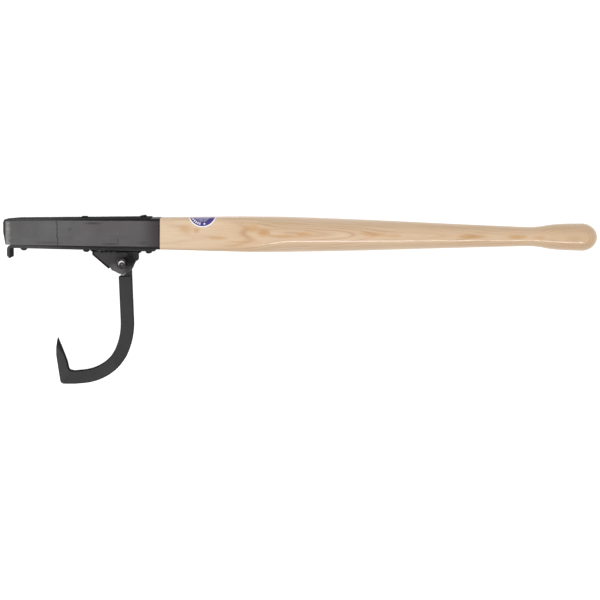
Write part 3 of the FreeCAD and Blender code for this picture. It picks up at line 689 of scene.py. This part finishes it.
def smoothAlong(stations, x):  # Catmull-Rom through (x, value, value...) stations
    if x <= stations[0][0]:
        return list(stations[0][1:])
    if x >= stations[-1][0]:
        return list(stations[-1][1:])
    i = max(k for k in range(len(stations) - 1) if stations[k][0] <= x)
    a, b = stations[i], stations[i + 1]
    before = stations[i - 1] if i > 0 else a
    after = stations[i + 2] if i + 2 < len(stations) else b
    t = (x - a[0]) / (b[0] - a[0])
    values = []
    for k in range(1, len(a)):
        slopeA = (b[k] - before[k]) / (b[0] - before[0]) * (b[0] - a[0])
        slopeB = (after[k] - a[k]) / (after[0] - a[0]) * (b[0] - a[0])
        values.append((2 * t**3 - 3 * t**2 + 1) * a[k] + (t**3 - 2 * t**2 + t) * slopeA
                      + (3 * t**2 - 2 * t**3) * b[k] + (t**3 - t**2) * slopeB)
    return values


# the handle: squared and painted at the head, swelling to a belly, then a long taper and a knob
handle = {
    "aroundQuarter": 24,
    "headLength": 0.240,
    # along, half width, top, bottom, corner
    "sections": [
        (0.000, 0.01950, 0.01830, 0.01890, 0.0010),
        (0.240, 0.02350, 0.02400, 0.02400, 0.0055),
        (0.300, 0.02460, 0.02510, 0.02510, 0.0062),
        (0.345, 0.02570, 0.02600, 0.02600, 0.0080),
        (0.385, 0.02680, 0.02690, 0.02690, 0.0140),
        (0.430, 0.02755, 0.02755, 0.02755, 0.02755),
    ],
    "grip": [
        (0.430, 0.02755), (0.487, 0.0262), (0.550, 0.0243), (0.611, 0.02205),
        (0.673, 0.0197), (0.735, 0.0174), (0.797, 0.0153), (0.813, 0.01505),
        (0.828, 0.0166), (0.841, 0.0189), (0.859, 0.02055), (0.8904, 0.0215),
    ],
    "knobEnd": 0.024,
    "frontRound": 0.0045,
    "setBack": 0.0032,
    "setBackOver": 0.012,
    "setBackAt": 0.019,
    "uneven": 0.00018,
}
topStrap = {"thick": 0.0032, "wide": 0.0381, "faceFront": (0.020, 0.0215), "faceRear": (0.2265, 0.0253),
            "nose": (0.0015, 0.0197), "edge": 0.0006}
toeStrap = {"thick": 0.00476, "wide": 0.0381, "faceFront": (0.020, -0.0239), "faceRear": (0.229, -0.0271),
            "end": 0.2358, "endBevel": 0.0035, "lipOuter": 0.0060, "lipLow": -0.0396, "bend": 0.0070,
            "lipBevel": (0.0032, 0.0040), "edge": 0.0006, "seatGap": 0.00002}


def lineAt(p, q, x):
    return p[1] + (q[1] - p[1]) * (x - p[0]) / (q[0] - p[0])


def topFace(x):
    if x > topStrap["faceFront"][0]:
        return lineAt(topStrap["faceFront"], topStrap["faceRear"], x)
    return lineAt(topStrap["nose"], topStrap["faceFront"], x)


def toeFace(x):
    return lineAt(toeStrap["faceFront"], toeStrap["faceRear"], x)


def sectionAt(x):
    if x <= handle["headLength"]:
        first, second = handle["sections"][:2]
        t = x / handle["headLength"]
        half, top, bottom, corner = [a + (b - a) * t for a, b in zip(first[1:], second[1:])]
    elif x <= handle["sections"][-1][0]:
        half, top, bottom, corner = smoothAlong(handle["sections"][1:], x)
    else:
        knobAt = toolLength - handle["knobEnd"]
        if x <= knobAt:
            radius = smoothAlong(handle["grip"], x)[0]
        else:
            share = min((x - knobAt) / handle["knobEnd"], 0.99995)
            radius = handle["grip"][-1][1] * math.sqrt(1 - share**2)
        half = top = bottom = corner = radius
    return half, top, bottom, corner


flatShare = 0.34  # of a quarter's points, on each flat of the squared head


def outlinePoint(angle, half, top, bottom, corner):  # up and out of one point of the squared outline
    quarter = int(angle // (math.pi / 2)) % 4
    t = (angle % (math.pi / 2)) / (math.pi / 2)
    reachUp = top if quarter in (0, 1) else bottom
    if quarter in (1, 3):
        t = 1 - t
    corner = min(corner, half, reachUp)
    flatOut, flatUp = reachUp - corner, half - corner
    whole = flatOut + flatUp + corner * math.pi / 2
    free = 1 - corner / half
    lowShare = free * flatShare + (1 - free) * flatOut / whole
    highShare = free * flatShare + (1 - free) * flatUp / whole
    if t < lowShare:
        up, out = flatOut * t / lowShare, half
    elif t > 1 - highShare:
        up, out = reachUp, flatUp * (1 - t) / highShare
    else:
        a = (t - lowShare) / (1 - lowShare - highShare) * math.pi / 2
        up, out = flatOut + corner * math.sin(a), flatUp + corner * math.cos(a)
    return (up if quarter in (0, 1) else -up), (out if quarter in (0, 3) else -out)


def makeHandle():
    bm = bmesh.new()
    turn = bm.verts.layers.float.new("turn")
    around = handle["aroundQuarter"] * 4
    ring = bmesh.ops.create_circle(bm, cap_ends=True, segments=around, radius=1.0)["verts"]
    for v in ring:
        v[turn] = math.atan2(v.co.y, v.co.x) % (math.pi * 2)

    topEnd, toeEnd = topStrap["faceRear"][0], toeStrap["end"]

    def place(v, x, inset=0.0):
        half, top, bottom, corner = sectionAt(x)
        up, out = outlinePoint((v[turn] + 1e-7) % (math.pi * 2), half, top, bottom, corner)
        if x <= topEnd:
            up = min(up, topFace(x) - topStrap["thick"])
        if x <= toeEnd:
            up = max(up, toeFace(x) + toeStrap["thick"] + toeStrap["seatGap"])
        lean = max(0.0, 1 - x / handle["setBackOver"]) * handle["setBack"]
        lean *= max(0.0, -up) / handle["setBackAt"]
        out -= math.copysign(min(inset, abs(out)), out)
        v.co = onTool(x + lean, up, out)

    stations = []
    for k in range(7):  # the front corners are rounded in plan
        a = k / 6 * math.pi / 2
        stations.append((handle["frontRound"] * (1 - math.cos(a)), handle["frontRound"] * (1 - math.sin(a))))
    x = handle["frontRound"] + 0.004
    while x < toolLength - handle["knobEnd"]:
        stations.append((x, 0.0))
        x += 0.006 if x < 0.25 or x > 0.79 else 0.009
    for cut in (topEnd, topEnd + 0.0002, toeEnd, toeEnd + 0.0002, handle["headLength"]):
        stations.append((cut, 0.0))
    knobAt = toolLength - handle["knobEnd"]
    for k in range(15):
        stations.append((knobAt + handle["knobEnd"] * math.sin(k / 14 * math.pi / 2 * 0.994), 0.0))
    stations.sort()
    for v in ring:
        place(v, *stations[0])
    edges = [e for e in bm.edges if all(v in ring for v in e.verts)]
    for x, inset in stations[1:]:
        grown = bmesh.ops.extrude_edge_only(bm, edges=edges)
        ring = vertsIn(grown)
        edges = [e for e in edgesIn(grown) if all(v in ring for v in e.verts)]
        for v in ring:
            place(v, x, inset)
    bmesh.ops.contextual_create(bm, geom=edges)
    bmesh.ops.remove_doubles(bm, verts=bm.verts, dist=sameSpot)
    head = [v for v in bm.verts if v.co.x < onTool(0.25, 0).x]
    unevenly(bm, handle["uneven"], 0.022, 3.1, head)
    return keepPiece(bm, "handleWood", "tool", handleSkin, ["handle"], 28.0, False)


makeHandle()
print("handle turned and squared")


def whole(face):
    return [face, *face.edges, *face.verts]


def pushFace(bm, face):
    return facesIn(bmesh.ops.extrude_face_region(bm, geom=whole(face)))[0]


def sweepFace(bm, rings):  # one face from a few points, extruded from ring to ring
    face = bm.faces.new([bm.verts.new(p) for p in rings[0]])
    for before, ring in zip(rings, rings[1:]):
        face = pushFace(bm, face)
        for v in face.verts:
            near = min(range(len(before)), key=lambda k: (v.co - before[k]).length)
            v.co = ring[near]
    return face


def bendFace(bm, face, centre, angle):  # the face carried round an upright axis, leaving a bend behind it
    bent = bmesh.ops.spin(bm, geom=whole(face), cent=centre, axis=(0, 0, 1), dvec=(0, 0, 0), angle=angle,
                          steps=8, use_merge=False, use_normal_flip=False, use_duplicate=False)
    return facesIn(bent, "geom_last")[0]


def spinProfile(bm, profile, place, direction, steps=32):  # (radius, height) points turned about an axis
    old = set(bm.verts)
    verts = [bm.verts.new((radius, 0, height)) for radius, height in profile]
    edges = [bm.edges.new(pair) for pair in zip(verts, verts[1:])]
    bmesh.ops.spin(bm, geom=verts + edges, cent=(0, 0, 0), axis=(0, 0, 1), dvec=(0, 0, 0), angle=math.tau,
                   steps=steps, use_merge=True, use_normal_flip=False, use_duplicate=False)
    turned = [v for v in bm.verts if v not in old]
    aim = Vector(direction).to_track_quat("Z", "Y").to_matrix().to_4x4()
    bmesh.ops.transform(bm, matrix=Matrix.Translation(place) @ aim, verts=turned)
    bmesh.ops.remove_doubles(bm, verts=turned, dist=sameSpot)  # closes the poles


# the two riveted straps
def makeTopStrap():
    bm = bmesh.new()
    half, thick = topStrap["wide"] / 2, topStrap["thick"]
    stops = [topStrap["faceRear"][0] - k * 0.0086 for k in range(25)]
    stops = [x for x in stops if x > topStrap["faceFront"][0] + 0.003]
    bend = topStrap["faceFront"][0]
    stops += [bend + 0.0015, bend - 0.0015, 0.0105, topStrap["nose"][0]]
    rings = []
    for x in stops:
        high = topFace(x)
        rings.append([onTool(x, high - thick, -half), onTool(x, high - thick, half),
                      onTool(x, high, half), onTool(x, high, -half)])
    sweepFace(bm, rings)
    roundEdges(bm, steepEdges(bm, 50), topStrap["edge"], 3)
    unevenly(bm, 0.00010, 0.016, 7.7)
    return keepPiece(bm, "topStrapSteel", "tool", strapPaint, ["top_strap"])


def makeToeStrap():
    bm = bmesh.new()
    half, thick = toeStrap["wide"] / 2, toeStrap["thick"]
    lean = math.atan2(toeStrap["faceRear"][1] - toeStrap["faceFront"][1],
                      toeStrap["faceRear"][0] - toeStrap["faceFront"][0])
    outer, inner = toeStrap["bend"], toeStrap["bend"] - thick
    bendAlong = toeStrap["lipOuter"] + outer
    bendUp = toeFace(bendAlong) - inner / math.cos(lean)

    def strip(x, low, high):
        return [onTool(x, low, -half), onTool(x, low, half), onTool(x, high, half), onTool(x, high, -half)]

    end, bevel = toeStrap["end"], toeStrap["endBevel"]
    rings = [strip(end, toeFace(end) + bevel, toeFace(end) + thick)]
    x = end - bevel
    while x > 0.022:
        rings.append(strip(x, toeFace(x), toeFace(x) + thick / math.cos(lean)))
        x -= 0.0092
    up = math.pi / 2 + lean
    start = [onTool(bendAlong + r * math.cos(up), bendUp + r * math.sin(up), out)
             for r, out in ((inner, -half), (inner, half), (outer, half), (outer, -half))]
    face = sweepFace(bm, rings + [start])
    face = bendFace(bm, face, onTool(bendAlong, bendUp), math.pi / 2 - lean)
    lipSteps = 3
    for step in range(lipSteps):
        face = pushFace(bm, face)
        drop = (bendUp - toeStrap["lipLow"]) / lipSteps
        bmesh.ops.translate(bm, vec=(0, -drop, 0), verts=list(face.verts))
    lip = [e for e in face.edges if max(v.co.x for v in e.verts) < onTool(toeStrap["lipOuter"] + 0.001, 0).x]
    roundEdges(bm, lip, sum(toeStrap["lipBevel"]) / 2, 1)
    roundEdges(bm, steepEdges(bm, 50), toeStrap["edge"], 3)
    unevenly(bm, 0.00012, 0.016, 2.3)
    return keepPiece(bm, "toeStrapSteel", "tool", strapPaint, ["toe_strap"])


makeTopStrap()
makeToeStrap()
print("straps bent")

rivet = {
    "shank": 0.003175,
    # places along the top strap and the toe strap, height of the upper head
    "places": {"rivet_front": (0.0289, 0.0294, 0.0009), "rivet_middle": (0.1237, 0.1257, 0.0022),
               "rivet_rear": (0.2140, 0.2225, 0.0027)},
    "topRadius": 0.0052, "toeRadius": 0.0054, "toeHigh": 0.0047, "sunk": 0.001,
    # head profiles as shares of radius and height
    "topHead": ((1.0, 0.22), (0.985, 0.5), (0.92, 0.78), (0.78, 0.95), (0.5, 1.0), (0.0, 1.0)),
    "toeHead": ((1.0, 0.16), (0.965, 0.38), (0.86, 0.62), (0.66, 0.83), (0.38, 0.96), (0.0, 1.0)),
}


def rivetHead(bm, place, axis, radius, high, foot, profile):
    points = [(0, -rivet["sunk"]), (radius * foot, -0.0001)]
    points += [(radius * out, high * up) for out, up in profile]
    spinProfile(bm, points, place, axis)


def makeRivet(nodeName, seed):
    bm = bmesh.new()
    atTop, atToe, topHigh = rivet["places"][nodeName]
    top, toe = onTool(atTop, topFace(atTop)), onTool(atToe, toeFace(atToe))
    axis = (top - toe).normalized()
    rivetHead(bm, top, axis, rivet["topRadius"], topHigh, 0.97, rivet["topHead"])
    rivetHead(bm, toe, -axis, rivet["toeRadius"], rivet["toeHigh"], 0.98, rivet["toeHead"])
    unevenly(bm, 0.00022, 0.0042, seed)
    shank = [(0, 0.002), (rivet["shank"], 0.002), (rivet["shank"], (top - toe).length - 0.002),
             (0, (top - toe).length - 0.002)]
    spinProfile(bm, shank, toe, axis, 20)
    name = "rivet" + nodeName.split("_")[1].capitalize()
    return keepPiece(bm, name, "tool", strapPaint, [nodeName])


for number, nodeName in enumerate(rivet["places"]):
    makeRivet(nodeName, 4.2 + number * 3.3)
print("rivets set")


# bracket and stop plate keep the CAD outline, with their cut edges rounded
def makeFromPlate(nodeName, name, edge):
    bm = bmesh.new()
    bm.from_mesh(frame["nodes"][nodeName].data)
    bmesh.ops.remove_doubles(bm, verts=bm.verts, dist=0.000005)
    bmesh.ops.dissolve_limit(bm, angle_limit=math.radians(1.0), verts=bm.verts, edges=bm.edges)
    roundEdges(bm, steepEdges(bm, 40), edge, 2)
    bmesh.ops.triangulate(bm, faces=[f for f in bm.faces if len(f.verts) > 4])
    return keepPiece(bm, name, "tool", bracketPaint, [nodeName])


makeFromPlate("hook_bracket", "hookBracketPlate", 0.00045)
makeFromPlate("stop_plate", "stopPlateSteel", 0.00060)
print("bracket cut and folded")

# fillet welds: a row of overlapping drops, run together
weld = {"drop": 0.0028, "pitch": 0.0034, "reach": 0.0040, "grid": 0.00042,
        "inset": 0.20, "sizeJitter": 0.75, "longJitter": 0.8, "strayed": 0.0012}


def makeWeld(nodeName, alongAxis, outward, seed):
    low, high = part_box(nodeName)
    middle = (low + high) / 2
    corner = Vector((middle.x, high.y, middle.z)) - Vector(outward) * weld["reach"] / 2
    corner += (Vector(outward) - Vector((0, 1, 0))) * weld["reach"] * weld["inset"]
    length = (high - low)[alongAxis]
    count = max(3, round(length / weld["pitch"]))
    bm = bmesh.new()
    for k in range(count):
        place = corner.copy()
        place[alongAxis] = low[alongAxis] + length * (k + 0.5) / count
        jitter = noise.noise_vector(place * 700 + Vector((seed, 0, 0)))
        size = weld["drop"] * (1.0 + weld["sizeJitter"] * jitter.x)
        drop = bmesh.ops.create_icosphere(bm, subdivisions=2, radius=size)["verts"]
        for v in drop:
            v.co[alongAxis] *= 0.95 + weld["longJitter"] * jitter.y
        bmesh.ops.translate(bm, vec=place + jitter * weld["strayed"], verts=drop)
    mesh = bpy.data.meshes.new("weldDrops")
    bm.to_mesh(mesh)
    bm.free()
    lump = bpy.data.objects.new("weldDrops", mesh)
    bpy.context.scene.collection.objects.link(lump)
    joined = lump.modifiers.new("joined", "REMESH")
    joined.mode = "VOXEL"
    joined.voxel_size = weld["grid"]
    soft = lump.modifiers.new("soft", "SMOOTH")
    soft.factor = 0.5
    soft.iterations = 3
    final = bpy.data.meshes.new_from_object(lump.evaluated_get(bpy.context.evaluated_depsgraph_get()))
    bpy.data.objects.remove(lump)
    bm = bmesh.new()
    bm.from_mesh(final)
    name = "weld" + nodeName.split("_")[1].capitalize()
    return keepPiece(bm, name, "tool", bracketPaint, [nodeName], 60.0)


makeWeld("weld_near", 0, (0, 0, 1), 1.0)
makeWeld("weld_far", 0, (0, 0, -1), 2.0)
makeWeld("weld_front", 2, (-1, 0, 0), 3.0)
makeWeld("weld_rear", 2, (1, 0, 0), 4.0)
print("welds laid")

# pivot bolt with its head on the far side, lock nut on the near side
fastener = {
    "boltRadius": 0.005555, "acrossFlats": 0.0159, "headHigh": 0.0071,
    "nutHexHigh": 0.0086, "nutHigh": 0.0117, "collarRadius": 0.0073,
    "insertRadius": 0.0066, "insertHigh": 0.0024, "insertSink": 0.0004,
    "standOut": 0.0016, "threadDeep": 0.00045, "boreClear": 0.00005,
    "endProfile": ((0.0009, 0.0002), (0.0005, 0.0008), (0.00015, 0.0017), (0.0, 0.0026),
                   (0.0001, 0.0031), (0.0005, 0.0036), (0.0007, 0.004755)),
    "around": 48,
}
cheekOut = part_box("hook_bracket")[1].z - pin.z


def hexRadius(angle):
    wedge = (angle + math.pi / 6) % (math.pi / 3) - math.pi / 6
    return fastener["acrossFlats"] / 2 / math.cos(wedge)


def ringLoft(bm, rings, side):  # rings: height and radius, or height, "hex" and the chamfer's direction
    turn = bm.verts.layers.float.get("turn") or bm.verts.layers.float.new("turn")
    crown = fastener["acrossFlats"] / 2 * 0.97

    def place(v, ring):
        radius, height = ring[1], ring[0]
        if radius == "hex":
            radius = hexRadius(v[turn])
            height += ring[2] * (radius - crown) * math.tan(math.radians(30))
        elif radius == "crown":
            radius = crown
        v.co = pin + Vector((radius * math.cos(v[turn]), radius * math.sin(v[turn]), side * height))

    ring = bmesh.ops.create_circle(bm, cap_ends=False, segments=fastener["around"], radius=1.0)["verts"]
    for v in ring:
        v[turn] = math.atan2(v.co.y, v.co.x)
    edges = [e for e in bm.edges if all(v in ring for v in e.verts)]
    for v in ring:
        place(v, rings[0])
    for nextRing in rings[1:]:
        grown = bmesh.ops.extrude_edge_only(bm, edges=edges)
        ring = vertsIn(grown)
        edges = [e for e in edgesIn(grown) if all(v in ring for v in e.verts)]
        for v in ring:
            place(v, nextRing)
    return edges


def makeLockNut():
    bm = bmesh.new()
    foot, hexTop = cheekOut, cheekOut + fastener["nutHexHigh"]
    top = cheekOut + fastener["nutHigh"]
    bore = fastener["boltRadius"] + fastener["boreClear"]
    collar, insert = fastener["collarRadius"], fastener["insertRadius"]
    seat = top - fastener["insertSink"]
    ringLoft(bm, [
        (foot, bore), (foot, "crown"), (foot, "hex", 1), (hexTop, "hex", -1), (hexTop, "crown"),
        (hexTop + 0.0004, collar + 0.0002), (top - 0.0012, collar), (top - 0.0004, collar - 0.0003),
        (top, collar - 0.0010), (top, insert - 0.0004), (seat, insert - 0.0004), (seat, insert),
        (seat - fastener["insertHigh"], insert), (seat - fastener["insertHigh"], bore), (foot, bore),
    ], 1)
    return keepPiece(bm, "lockNutSteel", "tool", fastenerFinish, ["lock_nut"], 25.0)


def makeNylonRing():
    bm = bmesh.new()
    seat = cheekOut + fastener["nutHigh"] - fastener["insertSink"]
    bore, outer = fastener["boltRadius"] + fastener["boreClear"], fastener["insertRadius"] - 0.00002
    low = seat - fastener["insertHigh"]
    ringLoft(bm, [(low, bore), (low, outer), (seat - 0.0002, outer), (seat - 0.00005, outer - 0.0002),
                  (seat - 0.00005, bore + 0.0002), (seat - 0.0003, bore), (low, bore)], 1)
    return keepPiece(bm, "nylonRing", "tool", nylonPlastic, ["nylon_insert"], 35.0)


def makePivotBolt():
    bm = bmesh.new()
    r, deep = fastener["boltRadius"], fastener["threadDeep"]
    head = cheekOut + fastener["headHigh"]
    end = cheekOut + fastener["nutHigh"] + fastener["standOut"]
    # the head, seen from the far side
    edges = ringLoft(bm, [(cheekOut, r), (cheekOut, "crown"), (cheekOut, "hex", 1), (head, "hex", -1),
                          (head, "crown"), (head - 0.0002, 0.0058)], -1)
    bmesh.ops.contextual_create(bm, geom=edges)
    # shank and the thread's last turns
    rings = [(-cheekOut, r), (end - 0.0052, r)]
    for turnNumber in range(3):
        low = end - 0.0046 + turnNumber * 0.0013
        rings += [(low, r - deep), (low + 0.00045, r - 0.00004), (low + 0.0008, r - 0.00004)]
    # its end: how far below the top, how far inside the shank
    rings += [(end - below, r - inside) for below, inside in fastener["endProfile"]]
    edges = ringLoft(bm, rings, 1)
    bmesh.ops.contextual_create(bm, geom=edges)
    return keepPiece(bm, "pivotBoltSteel", "tool", boltFinish, ["pivot_bolt"], 40.0)


makeLockNut()
makeNylonRing()
makePivotBolt()
print("bolt and nut fitted")

# the hook: flat bar bent in three arcs, folded up at the corner and ground to a point
hook = {
    "wide": 0.0204, "thick": 0.0127, "edge": 0.0016,
    "offset": 0.00317, "lean": 2.4, "shoulder": 0.0202, "shank": 0.070,
    "bends": ((0.1076, 24.6), (0.0664, 35.2), (0.0783, 27.1)),
    "lowerLeg": 0.0133,
    "cornerOuter": (-0.0966, -0.1896), "cornerInner": (-0.0836, -0.1676),
    "legOuter": ((-0.1031, -0.1460), (-0.1032, -0.1330), (-0.1014, -0.1174)),
    "legInner": ((-0.0867, -0.1535), (-0.0944, -0.1330), (-0.1002, -0.1174)),
    "outerRound": 0.0054, "innerRound": 0.0030,
    "tongueThick": 0.0095, "eyeClear": 0.0001, "eyeChamfer": 0.0006,
    "neckLeft": -0.0037, "neckSunk": 0.004, "neckBelow": 0.001,
    "facetFrom": (-0.1018, -0.1310), "facetTo": (-0.0834, -0.1525), "facetSlope": 27.0,
}


def makeHookBar():
    bm = bmesh.new()
    half, deep = hook["wide"] / 2, hook["thick"] / 2
    heading = math.radians(-90 + hook["lean"])
    ahead = Vector((math.cos(heading), math.sin(heading), 0))
    side = Vector((-ahead.y, ahead.x, 0))
    middle = pin + side * hook["offset"] + ahead * hook["shoulder"]
    first = [middle + side * k * half + Vector((0, 0, out)) for k, out in
             ((-1, -deep), (1, -deep), (1, deep), (-1, deep))]
    last = [p + ahead * hook["shank"] for p in first]
    face = sweepFace(bm, [first, last])
    middle += ahead * hook["shank"]
    for radius, degrees in hook["bends"]:
        side = Vector((-ahead.y, ahead.x, 0))
        centre = middle - side * radius
        angle = -math.radians(degrees)
        face = bendFace(bm, face, centre, angle)
        turn = Matrix.Rotation(angle, 3, "Z")
        middle = centre + turn @ (middle - centre)
        ahead = turn @ ahead
    face = pushFace(bm, face)
    bmesh.ops.translate(bm, vec=ahead * hook["lowerLeg"], verts=list(face.verts))

    side = Vector((-ahead.y, ahead.x, 0))
    middle += ahead * hook["lowerLeg"]
    corner = (hook["cornerOuter"], hook["cornerInner"])
    for outer, inner in [corner, *zip(hook["legOuter"], hook["legInner"])]:
        face = pushFace(bm, face)
        for v in face.verts:
            v.co = fromPin(*(outer if (v.co - middle).dot(side) > 0 else inner), v.co.z - pin.z)
        middle = (fromPin(*outer) + fromPin(*inner)) / 2
        side = (fromPin(*outer) - fromPin(*inner)).normalized()

    def cornerEdges(spot):
        return [e for e in bm.edges if all((v.co - fromPin(*spot)).xy.length < 0.0003 for v in e.verts)
                and abs(e.verts[0].co.z - e.verts[1].co.z) > 0.005]

    roundEdges(bm, cornerEdges(hook["cornerOuter"]), hook["outerRound"], 5)
    roundEdges(bm, cornerEdges(hook["cornerInner"]), hook["innerRound"], 4)
    # both flats are ground away along the inner side of the point
    start, end = fromPin(*hook["facetFrom"], deep), fromPin(*hook["facetTo"], deep)
    run = (end - start).normalized()
    slope = math.radians(hook["facetSlope"])
    towardTip = Vector((-run.y, run.x, 0))
    for flip in (1, -1):
        leg = [f for f in bm.faces if f.calc_center_median().x < fromPin(-0.080, 0).x
               and f.calc_center_median().y > fromPin(0, -0.165).y]
        normal = towardTip * math.sin(slope) + Vector((0, 0, flip * math.cos(slope)))
        spot = Vector((start.x, start.y, pin.z + flip * deep))
        near = list({e for f in leg for e in f.edges}) + list({v for f in leg for v in f.verts}) + leg
        cut = bmesh.ops.bisect_plane(bm, geom=near, dist=1e-7, plane_co=spot, plane_no=normal,
                                     clear_outer=True)
        bmesh.ops.edgeloop_fill(bm, edges=edgesIn(cut, "geom_cut"))
    atPoint = fromPin(-0.080, -0.150)
    fine = {v for v in bm.verts if v.co.x < atPoint.x and v.co.y > atPoint.y}
    roundEdges(bm, [e for e in steepEdges(bm, 60) if not fine.issuperset(e.verts)], hook["edge"], 3, False)
    # eye and neck, thinner than the bar so that they turn between the cheeks
    thin = hook["tongueThick"] / 2
    reach = half + hook["offset"]
    bore = fastener["boltRadius"] + hook["eyeClear"]
    chamfer = hook["eyeChamfer"]
    eye = [(bore, -thin), (reach - chamfer, -thin), (reach, -thin + chamfer), (reach, thin - chamfer),
           (reach - chamfer, thin), (bore, thin), (bore, -thin)]
    spinProfile(bm, eye, pin, (0, 0, 1), 48)
    lean = Matrix.Rotation(math.radians(hook["lean"]), 4, "Z")
    neck = bmesh.ops.create_cube(bm, size=1.0)["verts"]
    wide = reach - hook["neckLeft"]
    low, high = -hook["shoulder"] - hook["neckSunk"], -bore - hook["neckBelow"]
    bmesh.ops.scale(bm, vec=(wide, high - low, thin * 2), verts=neck)
    bmesh.ops.translate(bm, vec=(hook["neckLeft"] + wide / 2, (low + high) / 2, 0), verts=neck)
    bmesh.ops.transform(bm, matrix=Matrix.Translation(pin) @ lean, verts=neck)
    return keepPiece(bm, "hookBar", "hook", hookPaint, ["hook"], 30.0)


makeHookBar()
print("hook forged")


# the round label: a thin disc laid over the near top corner of the wood
sticker = {"middle": 0.3062, "radius": 0.0216, "thick": 0.00020, "rings": 12, "around": 48, "startUp": 0.0112}


def onWrap(x, length, lift):  # length along the surface, up the near side and over its corner
    half, top, bottom, corner = sectionAt(x)
    corner = min(corner, half, top)
    flat = top - corner
    arc = corner * math.pi / 2
    if length < flat:
        return onTool(x, length, half + lift)
    if length < flat + arc:
        a = (length - flat) / corner
        return onTool(x, flat + (corner + lift) * math.sin(a), half - corner + (corner + lift) * math.cos(a))
    return onTool(x, top + lift, half - corner - (length - flat - arc))


def makeSticker():
    bm = bmesh.new()
    uv = bm.loops.layers.uv.new("labelMap")
    bmesh.ops.create_circle(bm, cap_ends=True, cap_tris=False, segments=sticker["around"], radius=1.0)
    face = list(bm.faces)[0]
    for ring in range(sticker["rings"] - 1):
        share = 1 - (ring + 1) / sticker["rings"]
        bmesh.ops.inset_individual(bm, faces=[face], thickness=0.0001, depth=0.0)
        for v in face.verts:
            v.co = v.co.normalized() * share
    for f in bm.faces:
        for loop in f.loops:
            loop[uv].uv = (loop.vert.co.x / 2 + 0.5, loop.vert.co.y / 2 + 0.5)
    bmesh.ops.solidify(bm, geom=list(bm.faces), thickness=0.05)
    high = max(v.co.z for v in bm.verts)
    middle = sticker["startUp"] + sticker["radius"]
    for v in bm.verts:
        lift = sticker["thick"] if v.co.z > high - 0.01 else -sticker["thick"]
        x, length = sticker["middle"] + v.co.x * sticker["radius"], middle + v.co.y * sticker["radius"]
        v.co = onWrap(x, length, lift)
    return keepPiece(bm, "roundSticker", "tool", stickerPrint, flats=False)


makeSticker()
print("sticker laid on")

# studio
studio = {
    "fill": 0.87,
    "stripPower": 13.0,
    "skyPower": 5.0,
    "leftPower": 9.0,
    "paper": 0.80,
    "paperGlow": 0.60,
}


def seenByEye(tree):  # 1 for what the camera sees, also in a shiny surface
    path = addNode(tree, "LightPath").outputs
    shown = calc(tree, "MAXIMUM", path["Is Camera Ray"], path["Is Transmission Ray"])
    return calc(tree, "MAXIMUM", shown, path["Is Glossy Ray"])


def makeWorld():
    world = bpy.data.worlds.new("studioWorld")
    bpy.context.scene.world = world
    world.use_nodes = True
    tree = world.node_tree
    strength = fade(tree, seenByEye(tree), 0.0, 1.0, studio["fill"], 1.0, "LINEAR")
    feed(tree, strength, tree.nodes["Background"].inputs["Strength"])
    tree.nodes["Background"].inputs["Color"].default_value = (1, 1, 1, 1)


def makeFloor():
    bm = bmesh.new()
    bmesh.ops.create_grid(bm, x_segments=1, y_segments=1, size=6.0)
    mesh = bpy.data.meshes.new("studioFloor")
    bm.to_mesh(mesh)
    bm.free()
    floor = bpy.data.objects.new("studioFloor", mesh)
    bpy.context.scene.collection.objects.link(floor)
    floor.location.z = -0.0005
    made = bpy.data.materials.new("floorPaper")
    made.use_nodes = True
    tree = made.node_tree
    shader = tree.nodes["Principled BSDF"]
    shader.inputs["Base Color"].default_value = (studio["paper"],) * 3 + (1.0,)
    shader.inputs["Roughness"].default_value = 0.9
    shader.inputs["Specular IOR Level"].default_value = 0.0
    shader.inputs["Emission Color"].default_value = (1, 1, 1, 1)
    glow = calc(tree, "MULTIPLY", seenByEye(tree), studio["paperGlow"])
    feed(tree, glow, shader.inputs["Emission Strength"])
    mesh.materials.append(made)


def makeLamp(name, power, place, aim, wide, high):
    lamp = bpy.data.lights.new(name, "AREA")
    lamp.shape = "RECTANGLE"
    lamp.energy = power
    lamp.size = wide
    lamp.size_y = high
    made = bpy.data.objects.new(name, lamp)
    made.location = place
    made.rotation_mode = "QUATERNION"
    made.rotation_quaternion = (Vector(aim) - Vector(place)).to_track_quat("-Z", "Y")
    bpy.context.scene.collection.objects.link(made)


makeWorld()
makeFloor()
makeLamp("lowStrip", studio["stripPower"], (0.37, -1.43, 1.74), (0.37, 0.1, 0.0), 0.98, 0.10)
makeLamp("topSoft", studio["skyPower"], (-0.3, 0.5, 2.9), (-0.1, 0.1, 0.0), 1.6, 1.6)
makeLamp("leftSoft", studio["leftPower"], (-2.1, 0.75, 1.3), (-0.4, 0.05, 0.0), 0.6, 0.6)

# camera: straight above, leaning a little towards the hook
shot = {"place": (-0.0032, 0.2778, 2.6776), "lean": -0.1036, "roll": 0.0095, "lens": 103.15}


def makeCamera():
    lens = bpy.data.cameras.new("shotCamera")
    lens.lens = shot["lens"]
    lens.sensor_width = 36.0
    lens.clip_end = 50.0
    made = bpy.data.objects.new("shotCamera", lens)
    made.location = shot["place"]
    made.rotation_euler = (shot["lean"], 0.0, shot["roll"])
    bpy.context.scene.collection.objects.link(made)
    bpy.context.scene.camera = made


makeCamera()
bpy.context.scene.view_settings.view_transform = "Standard"
print("studio ready")
